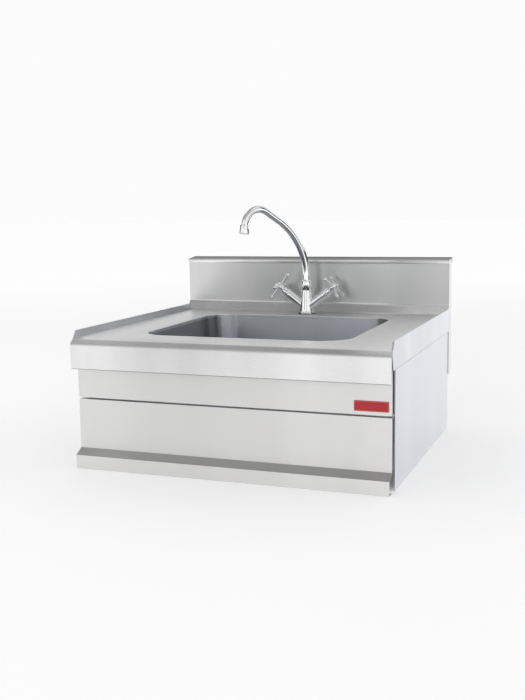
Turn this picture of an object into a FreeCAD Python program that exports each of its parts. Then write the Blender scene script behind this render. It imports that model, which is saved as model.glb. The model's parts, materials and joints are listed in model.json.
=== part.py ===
import FreeCAD, Part
import Sketcher
import math
import os
from FreeCAD import Placement, Rotation, Vector

# Counter-top hand wash sink: a folded stainless steel module with a drawn bowl, a basket
# strainer waste, a rear splashback and a two-handle mixer tap with a swivelling spout.
#
# Millimetres. +X is the user's right at the front, +Y runs to the rear, +Z is up. The origin is
# on the supporting surface, in the middle of the 700 x 650 mm footprint.

# ---------------------------------------------------------------- driving dimensions

SIZES = {
    # worktop: a folded sheet, measured from its front plane (y) and from the floor (z)
    "module_width": 700,
    "module_depth": 650,
    "deck_height": 286,
    "top_sheet": 1.5,
    "apron_bottom": 220,
    "nose_depth": 28,
    "nose_break": 11,
    "nose_fall": 4,
    "nose_drop": 13,
    "nose_radius": 9,
    "rim_height": 14,
    "rim_width": 4,
    "rim_start": 12,
    "rim_slope": 12,
    "side_apron_bottom": 244,
    "side_apron_start": 7,
    "side_apron_slant": 12,
    "ramp_depth": 22,
    "ramp_height": 22,
    # splashback: a shallow box behind the deck
    "splash_setback": 40,
    "splash_height": 134,
    "splash_lap": 17,
    "splash_box_depth": 27,
    "splash_box_bottom": 137,
    "cap_overhang": 5,
    "cap_edge": 9,
    "cap_return": 12,
    "cap_rise": 5,
    "end_flange": 14,
    # casing of thinner sheet
    "panel_sheet": 1.2,
    "side_gap": 0.1,
    "side_start": 40,
    "flange": 15,
    "foot_flange": 20,
    "bolt_hole_radius": 5.5,
    "bolt_spacing": 440,
    "front_setback": 22,
    "front_inset": 3.5,
    "front_flange": 14,
    "upper_front_bottom": 154,
    "upper_front_top": 262,
    "lower_front_top": 150,
    "lip_height": 30,
    "lip_shoulder": 42,
    "lip_foot": 20,
    "bracket_width": 20,
    "bracket_end_gap": 4,
    "badge_length": 70,
    "badge_height": 21,
    "badge_radius": 2.5,
    "badge_thickness": 1,
    "badge_from_end": 6,
    "badge_from_bottom": 7,
    "rail_height": 30,
    "rail_depth": 25,
    "front_rail_start": 48,
    "stiffener_width": 30,
    "stiffener_height": 18,
    "stiffener_from_end": 55,
    "stiffener_start": 60,
    "service_width": 240,
    "service_height": 120,
    "service_bottom": 60,
    "back_inset": 4,
    "back_bottom": 6,
    "screw_radius": 2,
    "screw_head_radius": 4,
    "screw_head_height": 2.2,
    "screw_length": 9,
    # drawn bowl
    "bowl_width": 466,
    "bowl_front": 88,
    "bowl_from_splash": 92,
    "bowl_depth": 160,
    "bowl_corner": 66,
    "bowl_sheet": 1.2,
    "bowl_taper": 4,
    "bowl_foot_radius": 38,
    "mouth_radius": 3,
    "mouth_collar": 8,
    "recess_depth": 3,
    "recess_radius": 58,
    # basket strainer waste
    "waste_hole_radius": 45,
    "waste_flange_radius": 57,
    "waste_flange_thickness": 2,
    "waste_cup_radius": 44.5,
    "waste_wall": 1.5,
    "waste_cup_depth": 46,
    "outlet_radius": 23.9,
    "outlet_bore": 19,
    "outlet_length": 15,
    "waste_washer_radius": 60,
    "waste_washer_thickness": 3,
    "locknut_radius": 60,
    "locknut_height": 10,
    "tailpiece_radius": 20,
    "tailpiece_wall": 1.8,
    "tailpiece_length": 52,
    "tailpiece_neck_radius": 19.2,
    "tailpiece_neck_length": 6,
    "tail_nut_radius": 29,
    "tail_nut_height": 16,
    "basket_radius": 42,
    "basket_sheet": 1,
    "basket_drop": 6,
    "basket_height": 33,
    "basket_hole_radius": 2,
    "stopper_radius": 31,
    "stopper_thickness": 4,
    "basket_post_radius": 3.5,
    "knob_radius": 9,
    "knob_height": 12,
    # mixer tap, measured from its axis and from the deck
    "tap_from_splash": 54,
    "tap_hole_radius": 17.5,
    "gasket_thickness": 1.5,
    "base_radius": 21.5,
    "base_height": 5,
    "column_foot_radius": 18,
    "column_top_radius": 13.5,
    "column_shoulder": 60,
    "neck_radius": 11.4,
    "column_height": 68,
    "socket_radius": 9.58,
    "socket_floor": 42,
    "mixing_bore": 6,
    "valve_tilt": 53,
    "valve_axis_height": 14,
    "arm_root_radius": 13,
    "arm_end_radius": 10.5,
    "arm_length": 60,
    "seat_depth": 38,
    "seat_bore": 3.5,
    "valve_chamber_radius": 7.5,
    "stud_radius": 4,
    "stud_offset": 9,
    "stud_length": 62,
    "stud_engagement": 12,
    "nut_across_flats": 13,
    "nut_height": 6.5,
    "clamp_radius": 23,
    "clamp_thickness": 2.5,
    "clamp_rubber_thickness": 3,
    "tail_radius": 5,
    "tail_bore": 4,
    "tail_spread": 8,
    "tail_offset": 4,
    "tail_length": 225,
    "tail_engagement": 10,
    "tail_neck_radius": 4.7,
    "tail_neck_length": 40,
    "thread_gap": 0.05,
    # spout
    "spout_swivel": 38,
    "spout_radius": 9,
    "spout_wall": 1.2,
    "spout_sleeve_radius": 9.5,
    "spout_sleeve_bore": 6.5,
    "spout_sleeve_start": 44,
    "spout_rise": 19,
    "spout_sweep_radius": 173,
    "spout_sweep_angle": 57.5,
    "spout_lean": 42,
    "spout_crook_radius": 40,
    "spout_crook_angle": 114,
    "spout_tip": 9,
    "ring_radius": 10.9,
    "ring_thickness": 2.6,
    "ring_groove": 0.4,
    "collar_radius": 13.2,
    "collar_height": 26,
    "collar_chamfer": 3.2,
    "running_gap": 0.08,
    "o_ring_radius": 0.9,
    "o_ring_lower": 49,
    "o_ring_upper": 60,
    "aerator_radius": 12,
    "aerator_length": 22,
    "aerator_overlap": 6,
    "aerator_wall": 1.6,
    "aerator_washer_thickness": 1.5,
    "aerator_jet_radius": 0.9,
    # valves, measured along the valve axis from the middle of the tap
    "bonnet_start": 51.6,
    "bonnet_flange_radius": 11.5,
    "bonnet_flange_length": 6,
    "bonnet_neck_radius": 9,
    "bonnet_neck_length": 11,
    "spindle_radius": 5,
    "spindle_end_radius": 3.5,
    "spindle_end_gap": 0.3,
    "spindle_collar_radius": 6.2,
    "spindle_collar_start": 48,
    "spindle_collar_length": 3.3,
    "spindle_socket_radius": 3.05,
    "jumper_disc_radius": 5.2,
    "jumper_disc_thickness": 2,
    "jumper_stem_radius": 3,
    "jumper_stem_length": 14,
    "seat_washer_radius": 5.4,
    "seat_washer_thickness": 3,
    "seat_gap": 0.1,
    "gland_height": 70,
    "handle_start": 78.5,
    "hub_radius": 8.5,
    "hub_length": 19,
    "hub_waist_radius": 6.8,
    "handle_reach": 41,
    "ball_radius": 5.3,
    "spoke_root_radius": 3.4,
    "spoke_tip_radius": 4.1,
    "spoke_height": 11.5,
    "cap_radius": 7.2,
    "cap_height": 4.5,
    "cap_plug_length": 3,
    "cold_handle_turn": 45,
    "handle_screw_radius": 1.9,
    "handle_screw_length": 12,
    "handle_screw_head": 4.4,
    "handle_screw_head_height": 2.5,
}

WORK_NAME = "hand_wash_sink"
PARTS_FOLDER = "parts"

doc = FreeCAD.newDocument(WORK_NAME)
sheet = doc.addObject("Spreadsheet::Sheet", "Sizes")
for row, (alias, value) in enumerate(SIZES.items(), start=1):
    sheet.set(f"A{row}", alias)
    sheet.set(f"B{row}", str(value))
    sheet.setAlias(f"B{row}", alias)
doc.recompute()

PIECES = []

# ---------------------------------------------------------------- expressions shared by pieces

HALF_WIDTH = "Sizes.module_width / 2"
FRONT_PLANE = "-Sizes.module_depth / 2"
DECK = "Sizes.deck_height"
DECK_UNDERSIDE = "(Sizes.deck_height - Sizes.top_sheet)"
SPLASH_FRONT = "(Sizes.module_depth - Sizes.splash_setback)"
SPLASH_FOOT = "(Sizes.deck_height + Sizes.ramp_height)"
SPLASH_TOP = "(Sizes.deck_height + Sizes.splash_height)"
CAP_TOP = "(Sizes.deck_height + Sizes.splash_height + Sizes.cap_rise)"
REAR_PLANE = "(Sizes.module_depth - Sizes.splash_setback + 2 * Sizes.top_sheet)"
CASING_REAR = "(Sizes.module_depth - Sizes.splash_setback + 2 * Sizes.top_sheet - Sizes.panel_sheet)"
RIM_TOP = "(Sizes.deck_height + Sizes.rim_height)"
SIDE_OUTER = "(Sizes.module_width / 2 - Sizes.top_sheet - Sizes.side_gap)"
SIDE_INNER = "(Sizes.module_width / 2 - Sizes.top_sheet - Sizes.side_gap - Sizes.panel_sheet)"
FRONT_HALF = "(Sizes.module_width / 2 - Sizes.front_inset)"
BOWL_REAR = "(Sizes.module_depth - Sizes.splash_setback - Sizes.bowl_from_splash)"
BOWL_LENGTH = f"({BOWL_REAR} - Sizes.bowl_front)"
BOWL_MIDDLE = f"(({BOWL_REAR} + Sizes.bowl_front) / 2)"
BOWL_FLOOR = "(Sizes.deck_height - Sizes.bowl_depth)"
MOUTH_BOTTOM = "(Sizes.deck_height - Sizes.mouth_collar)"
TAP_SETBACK = "(Sizes.module_depth - Sizes.splash_setback - Sizes.tap_from_splash)"
TAP_Y = f"({TAP_SETBACK} - Sizes.module_depth / 2)"
STIFFENER_CENTRE = "(Sizes.module_width / 2 - Sizes.stiffener_from_end)"
BODY_FOOT = "Sizes.gasket_thickness"
SCREW_COLUMN = f"({SIDE_OUTER} - Sizes.flange / 2 - Sizes.back_inset / 2)"
SCREW_HOLE = "Sizes.screw_radius + Sizes.thread_gap"
SCREW_ROWS = [
    "Sizes.rail_height + Sizes.service_bottom / 4",
    "Sizes.splash_box_bottom - Sizes.end_flange",
]


probe = doc.addObject("Part::Vertex", "probe")


def measure(expression):
    """The present value of an expression in the sheet's sizes."""
    probe.setExpression("X", str(expression))
    probe.recompute()
    return probe.X.Value


# ---------------------------------------------------------------- modelling helpers


def new_body(label):
    """An empty PartDesign body whose label names the piece."""
    body = doc.addObject("PartDesign::Body", label)
    body.Label = label
    PIECES.append(body)
    return body


def finished(piece, label):
    """Record a Part object as the piece called label."""
    piece.Label = label
    PIECES.append(piece)
    return piece


def sketch_on(body, name, role):
    """A sketch on one of the body's own origin planes."""
    sketch = body.newObject("Sketcher::SketchObject", name)
    plane = next(item for item in body.Origin.OriginFeatures if item.Role == role)
    sketch.AttachmentSupport = (plane, [""])
    sketch.MapMode = "FlatFace"
    return sketch


def pin_point(sketch, geometry, end, place):
    """Hold one point of a sketch at an (x, y) pair of expressions."""
    for kind, expression in zip(("DistanceX", "DistanceY"), place):
        constraint = Sketcher.Constraint(kind, -1, 1, geometry, end, measure(expression))
        index = sketch.addConstraint(constraint)
        sketch.setExpression(f"Constraints[{index}]", str(expression))


def join_ends(sketch, count, first=0):
    """Close a ring of line segments into one loop."""
    for index in range(count):
        start, following = first + index, first + (index + 1) % count
        sketch.addConstraint(Sketcher.Constraint("Coincident", start, 2, following, 1))


def polygon(sketch, places):
    """A closed outline through (x, y) pairs of expressions."""
    spots = [Vector(measure(x), measure(y), 0) for x, y in places]
    first = sketch.GeometryCount
    for index, spot in enumerate(spots):
        sketch.addGeometry(Part.LineSegment(spot, spots[(index + 1) % len(spots)]), False)
    join_ends(sketch, len(spots), first)
    for index, place in enumerate(places):
        pin_point(sketch, first + index, 1, place)


def rectangle(sketch, low, high):
    """A rectangle between two corners."""
    polygon(sketch, [low, (high[0], low[1]), high, (low[0], high[1])])


def circle(sketch, place, radius):
    """A full circle."""
    centre = Vector(measure(place[0]), measure(place[1]), 0)
    index = sketch.addGeometry(Part.Circle(centre, Vector(0, 0, 1), measure(radius)), False)
    pin_point(sketch, index, 3, place)
    held = sketch.addConstraint(Sketcher.Constraint("Radius", index, measure(radius)))
    sketch.setExpression(f"Constraints[{held}]", str(radius))


def offset_points(spots, distance):
    """Points of a polyline moved sideways by distance (left of its run when positive)."""
    moved = []
    for index, spot in enumerate(spots):
        runs = []
        if index > 0:
            runs.append((spot - spots[index - 1]).normalize())
        if index < len(spots) - 1:
            runs.append((spots[index + 1] - spot).normalize())
        normals = [Vector(-run.y, run.x, 0) for run in runs]
        middle = sum(normals, Vector()).normalize()
        moved.append(spot + middle * (distance / middle.dot(normals[0])))
    return moved


def folded_sheet(sketch, places, thickness, side):
    """The section of a bent sheet: its outer path, and a parallel path one thickness away.

    side is 1 where the sheet lies left of the path and -1 where it lies right of it."""
    outer = [Vector(measure(x), measure(y), 0) for x, y in places]
    inner = offset_points(outer, side * measure(thickness))
    ring = outer + inner[::-1]
    count = len(ring)
    for index, spot in enumerate(ring):
        sketch.addGeometry(Part.LineSegment(spot, ring[(index + 1) % count]), False)
    join_ends(sketch, count)
    for index, place in enumerate(places):
        pin_point(sketch, index, 1, place)
    last = len(places) - 1
    for index in range(last):
        facing = count - 2 - index
        sketch.addConstraint(Sketcher.Constraint("Parallel", index, facing))
        gap = Sketcher.Constraint("Distance", facing, 2, index, measure(thickness))
        held = sketch.addConstraint(gap)
        sketch.setExpression(f"Constraints[{held}]", str(thickness))
    sketch.addConstraint(Sketcher.Constraint("Perpendicular", last, last - 1))
    sketch.addConstraint(Sketcher.Constraint("Perpendicular", count - 1, 0))


def pad(body, sketch, length, start=None, symmetric=False, backwards=False):
    """Grow a sketch into a solid, from its plane or from start above it."""
    feature = body.newObject("PartDesign::Pad", sketch.Name + "_pad")
    feature.Profile = sketch
    feature.setExpression("Length", str(length))
    feature.Midplane = symmetric
    feature.Reversed = backwards
    if start is not None:
        raise_sketch(sketch, start)
    doc.recompute()
    return feature


def raise_sketch(sketch, height):
    """Lift a sketch off its plane."""
    sketch.setExpression("AttachmentOffset.Base.z", str(height))


def cut(body, sketch, depth, start=None, symmetric=False, backwards=False):
    """Pocket a sketch out of the body, and make sure that it took something away."""
    before = body.Tip.Shape.Volume
    feature = body.newObject("PartDesign::Pocket", sketch.Name + "_cut")
    feature.Profile = sketch
    feature.setExpression("Length", str(depth))
    feature.Midplane = symmetric
    feature.Reversed = backwards
    if start is not None:
        raise_sketch(sketch, start)
    doc.recompute()
    if feature.Shape.Volume >= before:
        raise RuntimeError(f"{feature.Name} cuts nothing")
    return feature


def revolve(body, sketch, axis="V_Axis"):
    """Turn a section about its sketch's own axis."""
    feature = body.newObject("PartDesign::Revolution", sketch.Name + "_turned")
    feature.Profile = sketch
    feature.ReferenceAxis = (sketch, [axis])
    feature.Angle = 360
    doc.recompute()
    return feature


def turned(label, places):
    """A turned piece: a closed section of (radius, height) pairs, spun about its Z axis."""
    body = new_body(label)
    sketch = sketch_on(body, label + "_section", "XZ_Plane")
    polygon(sketch, places)
    revolve(body, sketch)
    return body


def edges_of(feature, test):
    """Names of the feature's edges that pass a test."""
    edges = feature.Shape.Edges
    return [f"Edge{index + 1}" for index, edge in enumerate(edges) if test(edge)]


def blend(body, base, test, radius, kind="Fillet"):
    """Fillet or chamfer the edges that pass a test."""
    feature = body.newObject("PartDesign::" + kind, base.Name + "_" + kind.lower())
    feature.Base = (base, edges_of(base, test))
    feature.setExpression("Radius" if kind == "Fillet" else "Size", str(radius))
    doc.recompute()
    return feature


def level_edge_at(z, reach):
    """A test for edges that lie flat at height z within reach of the Z axis."""

    def test(edge):
        box = edge.BoundBox
        inside = max(abs(box.XMin), abs(box.XMax)) < measure(reach) + 0.01
        return box.ZLength < 0.01 and abs(box.ZMin - measure(z)) < 0.01 and inside

    return test


def place(piece, x="0", y="0", z="0", axis=None, angle=None):
    """Bind a piece's position, and its turn about axis where it has one."""
    piece.setExpression("Placement.Base.x", str(x))
    piece.setExpression("Placement.Base.y", str(y))
    piece.setExpression("Placement.Base.z", str(z))
    if axis is not None:
        piece.Placement = Placement(Vector(), Rotation(axis, measure(angle)))
        piece.setExpression("Placement.Rotation.Angle", str(angle))


def primitive(kind, name, sizes, x="0", y="0", z="0", axis=None, angle=None):
    """A Part primitive with bound sizes and place."""
    item = doc.addObject("Part::" + kind, name)
    for key, expression in sizes.items():
        item.setExpression(key, str(expression))
    place(item, x, y, z, axis, angle)
    return item


def box(name, low, high):
    """A Part box between two corners."""
    spans = [f"({top}) - ({bottom})" for bottom, top in zip(low, high)]
    return primitive("Box", name, dict(zip(("Length", "Width", "Height"), spans)), *low)


def cylinder(name, radius, height, x="0", y="0", z="0", axis=None, angle=None):
    """A Part cylinder standing at a point."""
    sizes = {"Radius": radius, "Height": height}
    return primitive("Cylinder", name, sizes, x, y, z, axis, angle)


def fuse(name, shapes):
    """Several Part shapes joined into one solid."""
    joined = doc.addObject("Part::MultiFuse", name)
    joined.Shapes = shapes
    joined.Refine = True
    return joined


def difference(name, base, tool):
    """One Part shape cut by another."""
    result = doc.addObject("Part::Cut", name)
    result.Base = base
    result.Tool = tool
    return result


def group(name, shapes):
    """Separate solids kept side by side in one piece."""
    gathered = doc.addObject("Part::Compound", name)
    gathered.Links = shapes
    return gathered


def rounded_rectangle(sketch, width, length, corner):
    """A rectangle about the sketch's origin with four equal corner arcs."""
    half_x, half_y, bend = measure(width) / 2, measure(length) / 2, measure(corner)
    arc_first = math.pi
    centres = [(-1, -1), (1, -1), (1, 1), (-1, 1)]
    spots = []
    for sign_x, sign_y in centres:
        centre = Vector(sign_x * (half_x - bend), sign_y * (half_y - bend), 0)
        round_part = Part.Circle(centre, Vector(0, 0, 1), bend)
        arc = Part.ArcOfCircle(round_part, arc_first, arc_first + math.pi / 2)
        spots.append((sketch.addGeometry(arc, False), arc))
        arc_first += math.pi / 2
    for index, (arc_id, arc) in enumerate(spots):
        next_id, next_arc = spots[(index + 1) % 4]
        line = sketch.addGeometry(Part.LineSegment(arc.EndPoint, next_arc.StartPoint), False)
        sketch.addConstraint(Sketcher.Constraint("Tangent", arc_id, 2, line, 1))
        sketch.addConstraint(Sketcher.Constraint("Tangent", line, 2, next_id, 1))
        kind = "Horizontal" if index % 2 == 0 else "Vertical"
        sketch.addConstraint(Sketcher.Constraint(kind, line))
        if index:
            sketch.addConstraint(Sketcher.Constraint("Equal", spots[0][0], arc_id))
    held = sketch.addConstraint(Sketcher.Constraint("Radius", spots[0][0], bend))
    sketch.setExpression(f"Constraints[{held}]", str(corner))
    corner_x = f"-({width}) / 2 + ({corner})"
    corner_y = f"-({length}) / 2 + ({corner})"
    pin_point(sketch, spots[0][0], 3, (corner_x, corner_y))
    pin_point(sketch, spots[2][0], 3, (f"-({corner_x})", f"-({corner_y})"))


# ---------------------------------------------------------------- worktop


def make_worktop():
    """Deck, bull-nosed front apron, ramp and lap for the splashback in one bent sheet, with
    folded side aprons, raised side rims, a rolled bowl mouth and the tap hole."""
    body = new_body("worktop")
    sketch = sketch_on(body, "worktop_section", "YZ_Plane")
    nose_low = (0, "Sizes.deck_height - Sizes.nose_drop")
    nose_mid = ("Sizes.nose_break", "Sizes.deck_height - Sizes.nose_fall")
    nose_top = ("Sizes.nose_depth", DECK)
    ramp_foot = (f"{SPLASH_FRONT} - Sizes.ramp_depth", DECK)
    ramp_head = (SPLASH_FRONT, SPLASH_FOOT)
    lap_foot = (f"{SPLASH_FRONT} + Sizes.top_sheet", SPLASH_FOOT)
    lap_head = (lap_foot[0], f"{SPLASH_FOOT} + Sizes.splash_lap")
    path = [(0, "Sizes.apron_bottom"), nose_low, nose_mid, nose_top]
    path += [ramp_foot, ramp_head, lap_foot, lap_head]
    folded_sheet(sketch, path, "Sizes.top_sheet", -1)
    top = pad(body, sketch, "Sizes.module_width", symmetric=True)
    ramp_run = "(Sizes.ramp_height - Sizes.rim_height + Sizes.top_sheet)"
    ramp_meets_rim = f"{SPLASH_FRONT} - {ramp_run} * Sizes.ramp_depth / Sizes.ramp_height"

    for name, sign in (("left", "-1"), ("right", "1")):
        outer = f"{sign} * {HALF_WIDTH}"
        apron = sketch_on(body, f"{name}_apron", "YZ_Plane")
        break_z = nose_low[1]
        polygon(
            apron,
            [
                ("Sizes.side_apron_start + Sizes.side_apron_slant", "Sizes.side_apron_bottom"),
                (SPLASH_FRONT, "Sizes.side_apron_bottom"),
                (SPLASH_FRONT, f"{SPLASH_FOOT} - Sizes.top_sheet / 2"),
                (ramp_meets_rim, RIM_TOP),
                ("Sizes.rim_start + Sizes.rim_slope", RIM_TOP),
                ("Sizes.rim_start", f"{DECK} - Sizes.nose_fall"),
                ("Sizes.side_apron_start", break_z),
            ],
        )
        inwards = name == "right"
        pad(body, apron, "Sizes.top_sheet", start=outer, backwards=inwards)
        rim = sketch_on(body, f"{name}_rim", "YZ_Plane")
        polygon(
            rim,
            [
                ("Sizes.nose_depth", f"{DECK} - Sizes.top_sheet / 2"),
                (SPLASH_FRONT, f"{DECK} - Sizes.top_sheet / 2"),
                (SPLASH_FRONT, RIM_TOP),
                ("Sizes.rim_start + Sizes.rim_slope", RIM_TOP),
                ("Sizes.rim_start", f"{DECK} - Sizes.nose_fall"),
            ],
        )
        top = pad(body, rim, "Sizes.rim_width", start=outer, backwards=inwards)

    collar = sketch_on(body, "mouth_collar", "XY_Plane")
    rounded_rectangle(
        collar,
        "Sizes.bowl_width + 2 * Sizes.bowl_sheet",
        f"{BOWL_LENGTH} + 2 * Sizes.bowl_sheet",
        "Sizes.bowl_corner + Sizes.bowl_sheet",
    )
    collar.setExpression("AttachmentOffset.Base.y", BOWL_MIDDLE)
    pad(body, collar, "Sizes.mouth_collar - Sizes.top_sheet / 2", start=MOUTH_BOTTOM)
    mouth = sketch_on(body, "mouth", "XY_Plane")
    rounded_rectangle(mouth, "Sizes.bowl_width", BOWL_LENGTH, "Sizes.bowl_corner")
    mouth.setExpression("AttachmentOffset.Base.y", BOWL_MIDDLE)
    opened = cut(body, mouth, "2 * Sizes.mouth_collar", start=DECK)
    hole = sketch_on(body, "tap_hole", "XY_Plane")
    circle(hole, (0, TAP_SETBACK), "Sizes.tap_hole_radius")
    opened = cut(body, hole, "2 * Sizes.top_sheet", start=DECK)

    def mouth_edge(edge):
        spread = edge.BoundBox
        level = spread.ZLength < 0.01 and abs(spread.ZMin - measure(DECK)) < 0.01
        reach = max(abs(spread.XMin), abs(spread.XMax)) < measure("Sizes.bowl_width / 2") + 0.01
        depth = spread.YMax < measure(BOWL_REAR) + 0.01
        return level and reach and depth and spread.YMin > measure("Sizes.bowl_front") - 0.01

    rolled = blend(body, opened, mouth_edge, "Sizes.mouth_radius")

    def nose_edge(edge):
        spread = edge.BoundBox
        straight = spread.YLength < 0.01 and spread.ZLength < 0.01
        return straight and any(
            abs(spread.YMin - measure(y)) < 0.01 and abs(spread.ZMin - measure(z)) < 0.01
            for y, z in (nose_low, nose_mid, nose_top)
        )

    blend(body, rolled, nose_edge, "Sizes.nose_radius")
    place(body, y=FRONT_PLANE)


def make_bowl():
    """The drawn bowl: tapered walls, a rounded foot and a recess for the waste flange."""
    body = new_body("bowl")
    outline = sketch_on(body, "bowl_outline", "XY_Plane")
    wide = "Sizes.bowl_width + 2 * Sizes.bowl_sheet"
    long = f"{BOWL_LENGTH} + 2 * Sizes.bowl_sheet"
    rounded_rectangle(outline, wide, long, "Sizes.bowl_corner + Sizes.bowl_sheet")
    height = "Sizes.bowl_depth - Sizes.mouth_collar + Sizes.bowl_sheet"
    block = pad(body, outline, height, start="-Sizes.mouth_collar", backwards=True)
    block.setExpression("TaperAngle", "-Sizes.bowl_taper")
    doc.recompute()
    foot_z = "-Sizes.bowl_depth - Sizes.bowl_sheet"
    foot = "Sizes.bowl_foot_radius + Sizes.bowl_sheet"
    inside = sketch_on(body, "bowl_inside", "XY_Plane")
    rounded_rectangle(inside, "Sizes.bowl_width", BOWL_LENGTH, "Sizes.bowl_corner")
    hollow = cut(body, inside, "Sizes.bowl_depth - Sizes.mouth_collar", start="-Sizes.mouth_collar")
    hollow.setExpression("TaperAngle", "-Sizes.bowl_taper")
    doc.recompute()
    floor_edges = level_edge_at("-Sizes.bowl_depth", "Sizes.bowl_width")
    rounded = blend(body, hollow, floor_edges, "Sizes.bowl_foot_radius")
    blend(body, rounded, level_edge_at(foot_z, "Sizes.bowl_width"), foot)
    dish = sketch_on(body, "recess_outside", "XY_Plane")
    circle(dish, (0, 0), "Sizes.recess_radius + Sizes.bowl_sheet")
    pad(body, dish, "Sizes.recess_depth", start=foot_z, backwards=True)
    recess = sketch_on(body, "recess", "XY_Plane")
    circle(recess, (0, 0), "Sizes.recess_radius")
    cut(body, recess, "Sizes.recess_depth", start="-Sizes.bowl_depth")
    hole = sketch_on(body, "waste_hole", "XY_Plane")
    circle(hole, (0, 0), "Sizes.waste_hole_radius")
    cut(body, hole, "Sizes.recess_depth + 2 * Sizes.bowl_sheet", start="-Sizes.bowl_depth")
    place(body, y=f"{BOWL_MIDDLE} - Sizes.module_depth / 2", z=DECK)


# ---------------------------------------------------------------- splashback


def make_splashback():
    """Front sheet and cap in one bent sheet, two end plates and a rear cover."""
    body = new_body("splashback")
    sketch = sketch_on(body, "splashback_section", "YZ_Plane")
    edge_y = f"{SPLASH_FRONT} - Sizes.cap_overhang"
    edge_z = f"{SPLASH_TOP} - Sizes.cap_edge"
    path = [(SPLASH_FRONT, SPLASH_FOOT), (SPLASH_FRONT, edge_z), (edge_y, edge_z)]
    path += [(edge_y, SPLASH_TOP), ("Sizes.module_depth", CAP_TOP)]
    path += [("Sizes.module_depth", f"{CAP_TOP} - Sizes.cap_return")]
    folded_sheet(sketch, path, "Sizes.top_sheet", -1)
    pad(body, sketch, "Sizes.module_width", symmetric=True)
    place(body, y=FRONT_PLANE)

    rear = f"({REAR_PLANE} + Sizes.splash_box_depth)"
    slope = "(Sizes.cap_rise / (Sizes.splash_setback + Sizes.cap_overhang))"
    drop = f"(Sizes.top_sheet * sqrt(1 + {slope} * {slope}))"
    lip_top = f"({SPLASH_TOP} - {drop} + {slope} * Sizes.top_sheet)"
    end_top = f"({CAP_TOP} - {drop} - {slope} * (Sizes.module_depth - {REAR_PLANE}))"
    rear_top = f"({CAP_TOP} - {drop} - {slope} * (Sizes.module_depth - {rear}))"
    for name, sign in (("left", "-1"), ("right", "1")):
        plate = new_body(f"splashback_end_{name}")
        section = sketch_on(plate, f"end_section_{name}", "XY_Plane")
        outer = f"{sign} * {HALF_WIDTH}"
        inner = f"{sign} * ({HALF_WIDTH} - Sizes.end_flange)"
        path = [(inner, REAR_PLANE), (outer, REAR_PLANE), (outer, rear), (inner, rear)]
        folded_sheet(section, path, "Sizes.panel_sheet", -1 if name == "left" else 1)
        height = f"{end_top} - Sizes.splash_box_bottom"
        pad(plate, section, height, start="Sizes.splash_box_bottom")
        notch = sketch_on(plate, f"end_notch_{name}", "XY_Plane")
        low = (f"{sign} * ({HALF_WIDTH} - 2 * Sizes.end_flange)", f"{REAR_PLANE} - 1")
        high = (f"{sign} * ({HALF_WIDTH} - Sizes.panel_sheet)", f"{rear} - Sizes.panel_sheet")
        rectangle(notch, low, high)
        cut(plate, notch, f"{end_top} - {DECK}", start=end_top)
        cheek = sketch_on(plate, f"end_cheek_{name}", "YZ_Plane")
        lap_top = f"{SPLASH_FOOT} + Sizes.splash_lap"
        sheet_rear = f"{SPLASH_FRONT} + Sizes.top_sheet"
        lip_rear = f"{SPLASH_FRONT} - Sizes.cap_overhang + Sizes.top_sheet"
        lip_floor = f"{edge_z} + Sizes.top_sheet"
        cheek_path = [(sheet_rear, lap_top), (rear, lap_top), (rear, rear_top)]
        cheek_path += [(lip_rear, lip_top), (lip_rear, lip_floor), (sheet_rear, lip_floor)]
        polygon(cheek, cheek_path)
        pad(plate, cheek, "Sizes.panel_sheet", start=outer, backwards=name == "right")
        place(plate, y=FRONT_PLANE)

    cover = new_body("splashback_rear_cover")
    outline = sketch_on(cover, "rear_cover_outline", "XZ_Plane")
    half = f"({HALF_WIDTH} - Sizes.back_inset)"
    rectangle(outline, (f"-{half}", "Sizes.splash_box_bottom"), (half, rear_top))
    raise_sketch(outline, f"-{rear} - Sizes.panel_sheet")
    pad(cover, outline, "Sizes.panel_sheet")
    place(cover, y=FRONT_PLANE)


# ---------------------------------------------------------------- casing


def make_side_panels():
    """Side panels with front, rear and foot flanges, tucked inside the worktop's aprons."""
    for name, sign in (("left", "-1"), ("right", "1")):
        panel = new_body(f"{name}_side_panel")
        section = sketch_on(panel, f"{name}_side_section", "XY_Plane")
        outer = f"{sign} * {SIDE_OUTER}"
        inner = f"{sign} * ({SIDE_OUTER} - Sizes.flange)"
        front = "Sizes.side_start"
        path = [(inner, front), (outer, front), (outer, CASING_REAR), (inner, CASING_REAR)]
        folded_sheet(section, path, "Sizes.panel_sheet", -1 if name == "left" else 1)
        pad(panel, section, DECK_UNDERSIDE)
        foot = sketch_on(panel, f"{name}_side_foot", "XY_Plane")
        low = (f"{sign} * ({SIDE_INNER} - Sizes.foot_flange)", f"{front} + Sizes.panel_sheet / 2")
        rear = f"{CASING_REAR} - Sizes.panel_sheet / 2"
        rectangle(foot, low, (f"{sign} * ({SIDE_INNER} + Sizes.panel_sheet / 2)", rear))
        pad(panel, foot, "Sizes.panel_sheet")
        holes = sketch_on(panel, f"{name}_bolt_holes", "XY_Plane")
        for end in ("-1", "1"):
            row = f"Sizes.module_depth / 2 + {end} * Sizes.bolt_spacing / 2"
            column = f"{sign} * ({SIDE_INNER} - Sizes.foot_flange / 2)"
            circle(holes, (column, row), "Sizes.bolt_hole_radius")
        cut(panel, holes, "2 * Sizes.panel_sheet", start="Sizes.panel_sheet")
        threads = sketch_on(panel, f"{name}_screw_holes", "XZ_Plane")
        for height in SCREW_ROWS:
            circle(threads, (f"{sign} * {SCREW_COLUMN}", height), SCREW_HOLE)
        raise_sketch(threads, f"-{CASING_REAR}")
        cut(panel, threads, "4 * Sizes.panel_sheet", symmetric=True)
        place(panel, y=FRONT_PLANE)


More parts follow.
